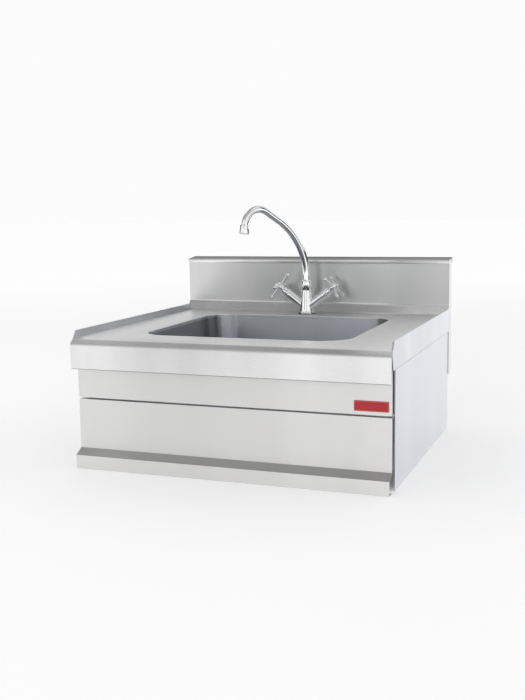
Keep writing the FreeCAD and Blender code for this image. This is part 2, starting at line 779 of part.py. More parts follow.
def make_back_panel():
    """Back panel with an opening for the water and waste pipes."""
    panel = new_body("back_panel")
    outline = sketch_on(panel, "back_outline", "XZ_Plane")
    half = f"({SIDE_OUTER} - Sizes.back_inset)"
    rectangle(outline, (f"-{half}", "Sizes.back_bottom"), (half, DECK_UNDERSIDE))
    service_half = "Sizes.service_width / 2"
    service_top = "Sizes.service_bottom + Sizes.service_height"
    rectangle(outline, (f"-{service_half}", "Sizes.service_bottom"), (service_half, service_top))
    for sign in ("-1", "1"):
        for height in SCREW_ROWS:
            circle(outline, (f"{sign} * {SCREW_COLUMN}", height), SCREW_HOLE)
    raise_sketch(outline, f"-{REAR_PLANE}")
    pad(panel, outline, "Sizes.panel_sheet")
    place(panel, y=FRONT_PLANE)


def make_front_panels():
    """Upper and lower front panels, the lower one with a forward lip at its foot."""
    face = "Sizes.front_setback"
    rear = f"{face} + Sizes.front_flange"
    upper = new_body("upper_front_panel")
    section = sketch_on(upper, "upper_front_section", "YZ_Plane")
    path = [(rear, "Sizes.upper_front_bottom"), (face, "Sizes.upper_front_bottom")]
    path += [(face, "Sizes.upper_front_top"), (rear, "Sizes.upper_front_top")]
    folded_sheet(section, path, "Sizes.panel_sheet", -1)
    pad(upper, section, f"2 * {FRONT_HALF}", symmetric=True)
    place(upper, y=FRONT_PLANE)

    lower = new_body("lower_front_panel")
    section = sketch_on(lower, "lower_front_section", "YZ_Plane")
    path = [("Sizes.lip_foot", "0"), ("0", "0"), ("0", "Sizes.lip_height")]
    path += [(face, "Sizes.lip_shoulder"), (face, "Sizes.lower_front_top")]
    path += [(rear, "Sizes.lower_front_top")]
    folded_sheet(section, path, "Sizes.panel_sheet", -1)
    pad(lower, section, f"2 * {FRONT_HALF}", symmetric=True)
    place(lower, y=FRONT_PLANE)


def make_front_brackets():
    """Channels that hold the front panels off the side panels' front flanges."""
    low_y = "(Sizes.front_setback + Sizes.panel_sheet - Sizes.module_depth / 2)"
    high_y = "(Sizes.side_start - Sizes.module_depth / 2)"
    spans = {
        "upper": ("Sizes.upper_front_bottom", "Sizes.upper_front_top"),
        "lower": ("Sizes.lip_shoulder", "Sizes.lower_front_top"),
    }
    for name, sign in (("left", "-1"), ("right", "1")):
        channels = []
        for part, (bottom, top) in spans.items():
            low_z = f"{bottom} + Sizes.bracket_end_gap"
            high_z = f"{top} - Sizes.bracket_end_gap"
            ends = [f"({SIDE_OUTER} - Sizes.bracket_width)", FRONT_HALF]
            walls = [f"({ends[0]} + Sizes.panel_sheet)", ends[1]]
            if name == "left":
                ends = [f"-{ends[1]}", f"-{ends[0]}"]
                walls = [f"-{walls[1]}", f"-{walls[0]}"]
            block = box(f"bracket_block_{name}_{part}", (ends[0], low_y, low_z), (ends[1], high_y, high_z))
            gap_low = f"{low_y} + Sizes.panel_sheet"
            gap_high = f"{high_y} - Sizes.panel_sheet"
            low, high = (walls[0], gap_low, low_z), (walls[1], gap_high, high_z)
            gap = box(f"bracket_gap_{name}_{part}", low, high)
            channels.append(difference(f"bracket_{name}_{part}", block, gap))
        finished(group(f"front_brackets_{name}", channels), f"front_brackets_{name}")


def make_badge():
    """A blank rounded plate on the upper front panel."""
    badge = new_body("badge_plate")
    outline = sketch_on(badge, "badge_outline", "XZ_Plane")
    rounded_rectangle(outline, "Sizes.badge_length", "Sizes.badge_height", "Sizes.badge_radius")
    pad(badge, outline, "Sizes.badge_thickness")
    x = f"{FRONT_HALF} - Sizes.badge_from_end - Sizes.badge_length / 2"
    z = "Sizes.upper_front_bottom + Sizes.badge_from_bottom + Sizes.badge_height / 2"
    place(badge, x=x, y=f"Sizes.front_setback - Sizes.module_depth / 2", z=z)


def make_rails():
    """Base rails across the casing and stiffening channels under the deck."""
    height = "(Sizes.panel_sheet + Sizes.rail_height)"
    spots = {
        "base_rail_front": "Sizes.front_rail_start",
        "base_rail_rear": f"{CASING_REAR} - Sizes.panel_sheet - Sizes.rail_depth",
    }
    for label, start in spots.items():
        rail = new_body(label)
        section = sketch_on(rail, label + "_section", "YZ_Plane")
        end = f"{start} + Sizes.rail_depth"
        path = [(start, "Sizes.panel_sheet"), (start, height), (end, height), (end, "Sizes.panel_sheet")]
        folded_sheet(section, path, "Sizes.panel_sheet", -1)
        pad(rail, section, f"2 * {SIDE_INNER}", symmetric=True)
        place(rail, y=FRONT_PLANE)

    for name, sign in (("left", "-1"), ("right", "1")):
        label = f"deck_stiffener_{name}"
        channel = new_body(label)
        section = sketch_on(channel, label + "_section", "XZ_Plane")
        low_x = f"{sign} * {STIFFENER_CENTRE} - Sizes.stiffener_width / 2"
        high_x = f"{sign} * {STIFFENER_CENTRE} + Sizes.stiffener_width / 2"
        low_z = f"{DECK_UNDERSIDE} - Sizes.stiffener_height"
        path = [(low_x, DECK_UNDERSIDE), (low_x, low_z), (high_x, low_z), (high_x, DECK_UNDERSIDE)]
        folded_sheet(section, path, "Sizes.panel_sheet", 1)
        length = f"{SPLASH_FRONT} - Sizes.ramp_depth - 2 * Sizes.stiffener_start"
        raise_sketch(section, "-Sizes.stiffener_start")
        pad(channel, section, length, backwards=True)
        place(channel, y=FRONT_PLANE)


def make_screws():
    """Pan-head screws through the back panel into the side panels' rear flanges."""
    rear = f"({REAR_PLANE} - Sizes.module_depth / 2)"
    backwards = Vector(1, 0, 0)
    screws = []
    for name, sign in (("left", "-1"), ("right", "1")):
        for row, height in enumerate(SCREW_ROWS):
            spot = (f"{sign} * {SCREW_COLUMN}", rear, height)
            head = cylinder(
                f"screw_head_{name}_{row}", "Sizes.screw_head_radius", "Sizes.screw_head_height",
                *spot, backwards, "-90",
            )
            shank_y = f"{rear} + Sizes.screw_head_height / 2"
            shank_length = "Sizes.screw_length + Sizes.screw_head_height / 2"
            shank = cylinder(
                f"screw_shank_{name}_{row}", "Sizes.screw_radius", shank_length,
                spot[0], shank_y, height, backwards, "90",
            )
            screws.append(fuse(f"screw_{name}_{row}", [head, shank]))
    finished(group("casing_screws", screws), "casing_screws")


# ---------------------------------------------------------------- waste


def make_waste():
    """Basket strainer waste, built about its own axis with z = 0 at the bowl's floor."""
    seal = "Sizes.recess_depth - Sizes.waste_flange_thickness"
    flange_foot = "-Sizes.waste_flange_thickness"
    cup_foot = "-Sizes.waste_cup_depth"
    floor = f"{cup_foot} - Sizes.waste_wall"
    outlet_foot = f"{floor} - Sizes.outlet_length"
    bore = "Sizes.waste_cup_radius - Sizes.waste_wall"
    waste = turned(
        "waste_body",
        [
            (bore, "0"),
            ("Sizes.waste_flange_radius", "0"),
            ("Sizes.waste_flange_radius", flange_foot),
            ("Sizes.waste_cup_radius", flange_foot),
            ("Sizes.waste_cup_radius", floor),
            ("Sizes.outlet_radius", floor),
            ("Sizes.outlet_radius", outlet_foot),
            ("Sizes.outlet_bore", outlet_foot),
            ("Sizes.outlet_bore", cup_foot),
            (bore, cup_foot),
        ],
    )
    upper = turned(
        "waste_upper_seal",
        ring_section(
            "Sizes.waste_hole_radius + 1",
            "Sizes.waste_flange_radius",
            f"{flange_foot} - ({seal})",
            flange_foot,
        ),
    )
    under = "-Sizes.recess_depth - Sizes.bowl_sheet"
    washer_foot = f"{under} - Sizes.waste_washer_thickness"
    loose = "Sizes.waste_cup_radius + Sizes.thread_gap"
    lower = turned(
        "waste_lower_seal", ring_section(loose, "Sizes.waste_washer_radius", washer_foot, under)
    )
    nut = turned(
        "waste_locknut",
        ring_section(loose, "Sizes.locknut_radius", f"{washer_foot} - Sizes.locknut_height", washer_foot),
    )
    notch_ring(nut, "locknut", "Sizes.locknut_radius", "Sizes.locknut_height", 8)
    pipe_bore = "Sizes.tailpiece_radius - Sizes.tailpiece_wall"
    collar_foot = f"{outlet_foot} - Sizes.waste_wall"
    neck_foot = f"{collar_foot} - Sizes.tailpiece_neck_length"
    tailpiece = turned(
        "waste_tailpiece",
        [
            (pipe_bore, outlet_foot),
            ("Sizes.outlet_radius - 1", outlet_foot),
            ("Sizes.outlet_radius - 1", collar_foot),
            ("Sizes.tailpiece_neck_radius", collar_foot),
            ("Sizes.tailpiece_neck_radius", neck_foot),
            ("Sizes.tailpiece_radius", neck_foot),
            ("Sizes.tailpiece_radius", f"{outlet_foot} - Sizes.tailpiece_length"),
            (pipe_bore, f"{outlet_foot} - Sizes.tailpiece_length"),
        ],
    )
    nut_bore = "Sizes.outlet_radius + Sizes.thread_gap"
    nut_top = f"{collar_foot} - Sizes.waste_wall + Sizes.tail_nut_height"
    tail_nut = turned(
        "waste_tailpiece_nut",
        [
            (nut_bore, nut_top),
            ("Sizes.tail_nut_radius - 3", nut_top),
            ("Sizes.tail_nut_radius", f"{nut_top} - 3"),
            ("Sizes.tail_nut_radius", f"{collar_foot} - Sizes.waste_wall"),
            ("Sizes.tailpiece_neck_radius + Sizes.thread_gap", f"{collar_foot} - Sizes.waste_wall"),
            ("Sizes.tailpiece_neck_radius + Sizes.thread_gap", collar_foot),
            (nut_bore, collar_foot),
        ],
    )
    notch_ring(tail_nut, "tail_nut", "Sizes.tail_nut_radius", "Sizes.tail_nut_height - 3", 6)
    for piece in (waste, upper, lower, nut, tailpiece, tail_nut):
        place(piece, y=f"{BOWL_MIDDLE} - Sizes.module_depth / 2", z=BOWL_FLOOR)
    make_basket()


def ring_section(inner, outer, low, high):
    """The four corners of a plain ring's section."""
    return [(inner, low), (outer, low), (outer, high), (inner, high)]


def notch_ring(body, name, radius, height, count):
    """Grip notches spaced round a nut."""
    sketch = sketch_on(body, name + "_notch", "XY_Plane")
    circle(sketch, (f"{radius} + 3", 0), "5")
    foot = body.Shape.BoundBox.ZMin
    feature = cut(body, sketch, height, start=f"{foot} + {height}")
    spread_round(body, feature, count)


def spread_round(body, feature, count):
    """Repeat a feature round the Z axis."""
    pattern = body.newObject("PartDesign::PolarPattern", feature.Name + "_round")
    pattern.Originals = [feature]
    axis = next(item for item in body.Origin.OriginFeatures if item.Role == "Z_Axis")
    pattern.Axis = (axis, [""])
    pattern.Angle = 360
    pattern.Occurrences = count
    body.Tip = pattern
    doc.recompute()
    return pattern


def make_basket():
    """The lift-out basket with its rubber stopper and pull knob."""
    seat = "-Sizes.waste_cup_depth + Sizes.seat_gap"
    stopper_top = f"{seat} + Sizes.stopper_thickness"
    rim = f"{stopper_top} + Sizes.basket_height"
    skin = "Sizes.basket_sheet"
    foot_radius = "Sizes.basket_radius - Sizes.basket_drop"
    basket = turned(
        "strainer_basket",
        [
            (0, stopper_top),
            (foot_radius, stopper_top),
            ("Sizes.basket_radius - 2 * Sizes.basket_sheet", rim),
            ("Sizes.basket_radius", rim),
            ("Sizes.basket_radius", f"{rim} + {skin}"),
            ("Sizes.basket_radius - 3 * Sizes.basket_sheet", f"{rim} + {skin}"),
            (f"{foot_radius} - Sizes.basket_sheet", f"{stopper_top} + {skin}"),
            (0, f"{stopper_top} + {skin}"),
        ],
    )
    for ring, (share, count) in enumerate(((0.45, 8), (0.7, 12), (0.9, 16))):
        sketch = sketch_on(basket, f"basket_hole_{ring}", "XY_Plane")
        circle(sketch, (f"({foot_radius}) * {share}", 0), "Sizes.basket_hole_radius")
        hole = cut(basket, sketch, f"3 * {skin}", start=f"{stopper_top} + 2 * {skin}")
        spread_round(basket, hole, count)
    stopper = turned(
        "strainer_stopper",
        ring_section("Sizes.basket_post_radius", "Sizes.stopper_radius", seat, stopper_top),
    )
    post_top = f"{rim} + Sizes.basket_sheet"
    knob = turned(
        "strainer_knob",
        [
            (0, f"{stopper_top} + {skin}"),
            ("Sizes.basket_post_radius", f"{stopper_top} + {skin}"),
            ("Sizes.basket_post_radius", post_top),
            ("Sizes.knob_radius", f"{post_top} + Sizes.knob_height / 2"),
            ("Sizes.knob_radius - 1", f"{post_top} + Sizes.knob_height - 1.5"),
            ("Sizes.knob_radius / 2", f"{post_top} + Sizes.knob_height"),
            (0, f"{post_top} + Sizes.knob_height"),
        ],
    )
    for piece in (basket, stopper, knob):
        place(piece, y=f"{BOWL_MIDDLE} - Sizes.module_depth / 2", z=BOWL_FLOOR)


# ---------------------------------------------------------------- tap body and its fixing

VALVES = {"hot": "-1", "cold": "1"}
Y_AXIS = Vector(0, 1, 0)


def at_tap(piece, x="0", y="0", z="0"):
    """Place a piece relative to the point where the tap's axis meets the deck."""
    place(piece, x=x, y=f"{TAP_Y} + ({y})", z=f"{DECK} + ({z})")


def make_tap_body():
    """The cast body: a flared foot, a column and two inclined valve arms."""
    solids = []
    foot = [
        ("Cylinder", {"Radius": "Sizes.base_radius", "Height": "Sizes.base_height"}, BODY_FOOT),
        (
            "Cone",
            {
                "Radius1": "Sizes.column_foot_radius",
                "Radius2": "Sizes.column_top_radius",
                "Height": f"Sizes.column_shoulder - Sizes.base_height - {BODY_FOOT}",
            },
            f"{BODY_FOOT} + Sizes.base_height",
        ),
        (
            "Cylinder",
            {"Radius": "Sizes.neck_radius", "Height": "Sizes.column_height - Sizes.column_shoulder"},
            "Sizes.column_shoulder",
        ),
    ]
    for index, (kind, sizes, z) in enumerate(foot):
        item = primitive(kind, f"tap_column_{index}", sizes)
        at_tap(item, z=z)
        solids.append(item)
    cuts = []
    for name, sign in VALVES.items():
        tilt = f"{sign} * Sizes.valve_tilt"
        arm = primitive(
            "Cone",
            f"{name}_arm",
            {
                "Radius1": "Sizes.arm_root_radius",
                "Radius2": "Sizes.arm_end_radius",
                "Height": "Sizes.arm_length",
            },
            *valve_point(name, "0"), Y_AXIS, tilt,
        )
        solids.append(arm)
        foot_of_seat = valve_point(name, "0")
        seat_sizes = ("Sizes.seat_bore", "Sizes.seat_depth")
        seat = cylinder(f"{name}_seat_bore", *seat_sizes, *foot_of_seat, Y_AXIS, tilt)
        chamber = cylinder(
            f"{name}_chamber", "Sizes.valve_chamber_radius", "Sizes.arm_length",
            *valve_point(name, "Sizes.seat_depth"), Y_AXIS, tilt,
        )
        cuts += [seat, chamber]
        inlet_radius = "Sizes.tail_neck_radius + Sizes.thread_gap"
        inlet = cylinder(f"{name}_inlet", inlet_radius, "Sizes.tail_engagement")
        at_tap(inlet, x=f"{sign} * Sizes.tail_spread", y="-Sizes.tail_offset", z=BODY_FOOT)
        cuts.append(inlet)
    level = box(
        "arm_trim",
        ("-Sizes.base_radius", f"{TAP_Y} - Sizes.base_radius", f"{DECK} - Sizes.base_radius"),
        ("Sizes.base_radius", f"{TAP_Y} + Sizes.base_radius", f"{DECK} + {BODY_FOOT}"),
    )
    socket = cylinder("spout_socket", "Sizes.socket_radius", "Sizes.column_height")
    at_tap(socket, z="Sizes.socket_floor")
    mixing = cylinder("mixing_bore", "Sizes.mixing_bore", "Sizes.socket_floor - Sizes.valve_axis_height")
    at_tap(mixing, z="Sizes.valve_axis_height")
    stud_hole = cylinder("stud_hole", "Sizes.stud_radius + Sizes.thread_gap", "Sizes.stud_engagement")
    at_tap(stud_hole, y="Sizes.stud_offset", z=BODY_FOOT)
    cuts += [level, socket, mixing, stud_hole]
    casting = fuse("tap_casting", solids)
    finished(difference("tap_body", casting, fuse("tap_bores", cuts)), "tap_body")


def valve_point(name, distance):
    """The x, y and z expressions of a point on a valve's axis."""
    sign = VALVES[name]
    return (
        f"{sign} * ({distance}) * sin(Sizes.valve_tilt * 1 deg)",
        TAP_Y,
        f"{DECK} + Sizes.valve_axis_height + ({distance}) * cos(Sizes.valve_tilt * 1 deg)",
    )


def make_tap_fixing():
    """Gasket above the deck; rubber, plate, stud and nut below it; two supply tails."""
    gasket = turned(
        "tap_base_gasket",
        ring_section("Sizes.tap_hole_radius", "Sizes.base_radius + 0.5", "0", "Sizes.gasket_thickness"),
    )
    at_tap(gasket)
    stud = turned(
        "tap_stud",
        [
            (0, f"{BODY_FOOT} + Sizes.stud_engagement - Sizes.stud_length"),
            ("Sizes.stud_radius", f"{BODY_FOOT} + Sizes.stud_engagement - Sizes.stud_length"),
            ("Sizes.stud_radius", f"{BODY_FOOT} + Sizes.stud_engagement"),
            (0, f"{BODY_FOOT} + Sizes.stud_engagement"),
        ],
    )
    at_tap(stud, y="Sizes.stud_offset")
    rubber_top = "-Sizes.top_sheet"
    plate_top = f"{rubber_top} - Sizes.clamp_rubber_thickness"
    clamps = {
        "tap_clamp_rubber": (rubber_top, "Sizes.clamp_rubber_thickness"),
        "tap_clamp_plate": (plate_top, "Sizes.clamp_thickness"),
    }
    for label, (top, thickness) in clamps.items():
        clamp = new_body(label)
        outline = sketch_on(clamp, label + "_outline", "XY_Plane")
        circle(outline, (0, 0), "Sizes.clamp_radius")
        circle(outline, (0, "Sizes.stud_offset"), "Sizes.stud_radius + 2 * Sizes.thread_gap")
        pad(clamp, outline, thickness, start=top, backwards=True)
        slot = sketch_on(clamp, label + "_slot", "XY_Plane")
        reach = "Sizes.tail_spread + Sizes.tail_radius + 1"
        low = (f"-({reach})", "-2 * Sizes.clamp_radius")
        rectangle(slot, low, (reach, "Sizes.tail_radius - Sizes.tail_offset + 1"))
        cut(clamp, slot, thickness, start=top)
        at_tap(clamp)
    nut_top = f"{plate_top} - Sizes.clamp_thickness"
    nut = new_body("tap_stud_nut")
    outline = sketch_on(nut, "stud_nut_outline", "XY_Plane")
    hexagon(outline, "Sizes.nut_across_flats")
    circle(outline, (0, 0), "Sizes.stud_radius + Sizes.thread_gap")
    pad(nut, outline, "Sizes.nut_height", start=nut_top, backwards=True)
    at_tap(nut, y="Sizes.stud_offset")
    for name, sign in VALVES.items():
        top = f"{BODY_FOOT} + Sizes.tail_engagement"
        tail = turned(
            f"{name}_supply_tail",
            [
                ("Sizes.tail_bore", f"{top} - Sizes.tail_length"),
                ("Sizes.tail_radius", f"{top} - Sizes.tail_length"),
                ("Sizes.tail_radius", f"{top} - Sizes.tail_neck_length"),
                ("Sizes.tail_neck_radius", f"{top} - Sizes.tail_neck_length"),
                ("Sizes.tail_neck_radius", top),
                ("Sizes.tail_bore", top),
            ],
        )
        at_tap(tail, x=f"{sign} * Sizes.tail_spread", y="-Sizes.tail_offset")


def half_disc(sketch, reach, radius):
    """Half a disc above the sketch's H axis, with its centre at reach along that axis."""
    middle, size = measure(reach), measure(radius)
    curve = Part.Circle(Vector(middle, 0, 0), Vector(0, 0, 1), size)
    arc = sketch.addGeometry(Part.ArcOfCircle(curve, 0, math.pi), False)
    ends = Vector(middle - size, 0, 0), Vector(middle + size, 0, 0)
    chord = sketch.addGeometry(Part.LineSegment(*ends), False)
    sketch.addConstraint(Sketcher.Constraint("Coincident", arc, 2, chord, 1))
    sketch.addConstraint(Sketcher.Constraint("Coincident", arc, 1, chord, 2))
    sketch.addConstraint(Sketcher.Constraint("Horizontal", chord))
    pin_point(sketch, arc, 3, (reach, 0))
    pin_point(sketch, chord, 1, (f"{reach} - {radius}", 0))


def hexagon(sketch, across_flats):
    """A regular hexagon with two flats facing front and rear."""
    half = f"({across_flats}) / 2"
    reach = f"({across_flats}) / sqrt(3)"
    corners = [(reach, "0"), (f"{reach} / 2", half), (f"-{reach} / 2", half)]
    corners += [(f"-{reach}", "0"), (f"-{reach} / 2", f"-{half}"), (f"{reach} / 2", f"-{half}")]
    polygon(sketch, corners)


# ---------------------------------------------------------------- spout

SLEEVE_TOP = "(Sizes.column_height + Sizes.running_gap)"
RING_TOP = "(Sizes.column_height + Sizes.running_gap + Sizes.ring_thickness)"


def make_spout():
    """Swivelling spout: a turned sleeve that sits in the column, and a bent tube."""
    spout = new_body("spout")
    profile = sketch_on(spout, "spout_tube", "XY_Plane")
    circle(profile, (0, 0), "Sizes.spout_radius")
    circle(profile, (0, 0), "Sizes.spout_radius - Sizes.spout_wall")
    raise_sketch(profile, RING_TOP)
    route = sketch_on(spout, "spout_route", "XZ_Plane")
    start = measure(RING_TOP)
    rise, sweep = measure("Sizes.spout_rise"), measure("Sizes.spout_sweep_radius")
    lean, crook = measure("Sizes.spout_lean"), measure("Sizes.spout_crook_radius")
    first, second = (math.radians(measure(f"Sizes.spout_{name}_angle")) for name in ("sweep", "crook"))
    spot, heading = Vector(0, start, 0), 0.0
    pieces = []
    stages = [("line", rise, 0), ("arc", sweep, first), ("line", lean, 0), ("arc", crook, second)]
    stages.append(("line", measure("Sizes.spout_tip"), 0))
    for kind, length, turn in stages:
        if kind == "line":
            end = spot + Vector(math.sin(heading), math.cos(heading), 0) * length
            pieces.append(route.addGeometry(Part.LineSegment(spot, end), False))
        else:
            centre = spot + Vector(math.cos(heading), -math.sin(heading), 0) * length
            begin = math.pi - heading
            curve = Part.Circle(centre, Vector(0, 0, 1), length)
            pieces.append(route.addGeometry(Part.ArcOfCircle(curve, begin - turn, begin), False))
            heading += turn
            end = centre - Vector(math.cos(heading), -math.sin(heading), 0) * length
        spot = end
    straight, bend, slope, hook, tip = pieces
    pin_point(route, straight, 1, ("0", RING_TOP))
    route.addConstraint(Sketcher.Constraint("Vertical", straight))
    route.addConstraint(Sketcher.Constraint("Tangent", straight, 2, bend, 2))
    route.addConstraint(Sketcher.Constraint("Tangent", bend, 1, slope, 1))
    route.addConstraint(Sketcher.Constraint("Tangent", slope, 2, hook, 2))
    route.addConstraint(Sketcher.Constraint("Tangent", hook, 1, tip, 1))
    held = [
        ("Distance", straight, "Sizes.spout_rise"),
        ("Radius", bend, "Sizes.spout_sweep_radius"),
        ("Angle", bend, "Sizes.spout_sweep_angle * 1 deg"),
        ("Distance", slope, "Sizes.spout_lean"),
        ("Radius", hook, "Sizes.spout_crook_radius"),
        ("Angle", hook, "Sizes.spout_crook_angle * 1 deg"),
        ("Distance", tip, "Sizes.spout_tip"),
    ]
    for kind, geometry, expression in held:
        value = measure(expression.replace(" * 1 deg", ""))
        value = math.radians(value) if kind == "Angle" else value
        index = route.addConstraint(Sketcher.Constraint(kind, geometry, value))
        route.setExpression(f"Constraints[{index}]", expression)
    tube = spout.newObject("PartDesign::AdditivePipe", "spout_bent_tube")
    tube.Profile = profile
    tube.Spine = route
    doc.recompute()

    sleeve = sketch_on(spout, "spout_sleeve", "XZ_Plane")
    wall = "Sizes.spout_sleeve_radius"
    groove = "Sizes.spout_sleeve_radius - 2 * Sizes.o_ring_radius - Sizes.thread_gap"
    section = [("Sizes.spout_sleeve_bore", "Sizes.spout_sleeve_start"), (wall, "Sizes.spout_sleeve_start")]
    for level in ("Sizes.o_ring_lower", "Sizes.o_ring_upper"):
        low, high = f"{level} - Sizes.o_ring_radius - 0.1", f"{level} + Sizes.o_ring_radius + 0.1"
        section += [(wall, low), (groove, low), (groove, high), (wall, high)]
    ring_seat = "Sizes.spout_radius - Sizes.ring_groove"
    section += [(wall, SLEEVE_TOP), (ring_seat, SLEEVE_TOP), (ring_seat, RING_TOP)]
    section += [("Sizes.spout_sleeve_bore", RING_TOP)]
    polygon(sleeve, section)
    revolve(spout, sleeve)
    ring_profile = ring_section(ring_seat, "Sizes.ring_radius", SLEEVE_TOP, RING_TOP)
    ring = turned("spout_retaining_ring", ring_profile)
    seal_sizes = {
        "Radius1": "Sizes.spout_sleeve_radius - Sizes.o_ring_radius",
        "Radius2": "Sizes.o_ring_radius",
    }
    seals = [primitive("Torus", f"spout_o_ring_{index}", seal_sizes) for index in range(2)]
    for seal, level in zip(seals, ("Sizes.o_ring_lower", "Sizes.o_ring_upper")):
        at_tap(seal, z=level)
    finished(group("spout_o_rings", seals), "spout_o_rings")
    for piece in (spout, ring):
        piece.Placement = Placement(Vector(), Rotation(Vector(0, 0, 1), 0))
        at_tap(piece)
    swivel_to_rest(spout)

    bore = "Sizes.neck_radius + Sizes.thread_gap"
    grip = "Sizes.spout_radius + Sizes.running_gap"
    foot = "Sizes.column_shoulder"
    shoulder = f"{RING_TOP} + Sizes.running_gap"
    top = f"{foot} + Sizes.collar_height"
    collar = turned(
        "spout_collar_nut",
        [
            (bore, foot),
            ("Sizes.collar_radius", foot),
            ("Sizes.collar_radius", f"{top} - Sizes.collar_chamfer"),
            ("Sizes.collar_radius - Sizes.collar_chamfer / 2", f"{top} - Sizes.collar_chamfer / 3"),
            ("Sizes.collar_radius - Sizes.collar_chamfer", top),
            (grip, top),
            (grip, shoulder),
            (bore, shoulder),
        ],
    )
    at_tap(collar)


def swivel_to_rest(piece):
    """Turn a piece of the spout from straight ahead to where the spout is stored."""
    piece.Placement = Placement(piece.Placement.Base, Rotation(Vector(0, 0, 1), 0))
    piece.setExpression("Placement.Rotation.Angle", "-90 - Sizes.spout_swivel")


def spout_end():
    """Reach, height and slope of the middle of the spout's outlet, and its axis."""
    heading, reach, height = 0.0, 0.0, measure(RING_TOP)
    for kind in ("rise", "sweep", "lean", "crook", "tip"):
        if kind in ("rise", "lean", "tip"):
            length = measure(f"Sizes.spout_{kind}")
            reach += length * math.sin(heading)
            height += length * math.cos(heading)
            continue
        radius = measure(f"Sizes.spout_{kind}_radius")
        turn = math.radians(measure(f"Sizes.spout_{kind}_angle"))
        reach += radius * (math.cos(heading) - math.cos(heading + turn))
        height += radius * (math.sin(heading + turn) - math.sin(heading))
        heading += turn
    return reach, height, heading


def make_aerator():
    """Housing, insert and washer on the tip of the spout, along the tip's own axis."""
    inner = "Sizes.spout_radius + Sizes.thread_gap"
    top = "Sizes.aerator_overlap"
    foot = "Sizes.aerator_overlap - Sizes.aerator_length"
    lip = "Sizes.aerator_radius - 2 * Sizes.aerator_wall"
    housing = turned(
        "aerator_housing",
        [
            (inner, top),
            ("Sizes.aerator_radius - 1", top),
            ("Sizes.aerator_radius", f"{top} - 1"),
            ("Sizes.aerator_radius", f"{foot} + 1"),
            ("Sizes.aerator_radius - 1", foot),
            (lip, foot),
            (lip, f"{foot} + Sizes.aerator_wall"),
            ("Sizes.aerator_radius - Sizes.aerator_wall", f"{foot} + Sizes.aerator_wall"),
            ("Sizes.aerator_radius - Sizes.aerator_wall", "0"),
            (inner, "0"),
        ],
    )
    seat = f"{foot} + Sizes.aerator_wall"
    insert_top = "-Sizes.aerator_washer_thickness"
    body_radius = "Sizes.aerator_radius - Sizes.aerator_wall - Sizes.thread_gap"
    insert = turned("aerator_insert", ring_section("0", body_radius, seat, insert_top))
    for ring, (share, count) in enumerate(((0.35, 6), (0.65, 12))):
        sketch = sketch_on(insert, f"jet_{ring}", "XY_Plane")
        circle(sketch, (f"({lip}) * {share}", 0), "Sizes.aerator_jet_radius")
        jet = cut(insert, sketch, "2 * Sizes.aerator_length", start="0")
        spread_round(insert, jet, count)
    washer_bore = "Sizes.spout_radius - Sizes.spout_wall"
    washer = turned("aerator_washer", ring_section(washer_bore, body_radius, insert_top, "0"))
    reach, height, heading = spout_end()
    swivel = math.radians(-90 - measure("Sizes.spout_swivel"))
    along = Rotation(Vector(0, 0, 1), math.degrees(swivel)) * Rotation(Y_AXIS, math.degrees(heading) - 180)
    out_x, out_y = reach * math.cos(swivel), reach * math.sin(swivel)
    spot = Vector(out_x, measure(TAP_Y) + out_y, measure(DECK) + height)
    for piece in (housing, insert, washer):
        piece.Placement = Placement(spot, along)


# ---------------------------------------------------------------- valves


def on_valve(piece, name, turn=0):
    """Stand a piece on a valve's axis, turned about it by turn degrees."""
    x, y, z = (measure(expression) for expression in valve_point(name, "0"))
    tilt = float(VALVES[name]) * measure("Sizes.valve_tilt")
    piece.Placement = Placement(Vector(x, y, z), Rotation(Y_AXIS, tilt) * Rotation(Vector(0, 0, 1), turn))


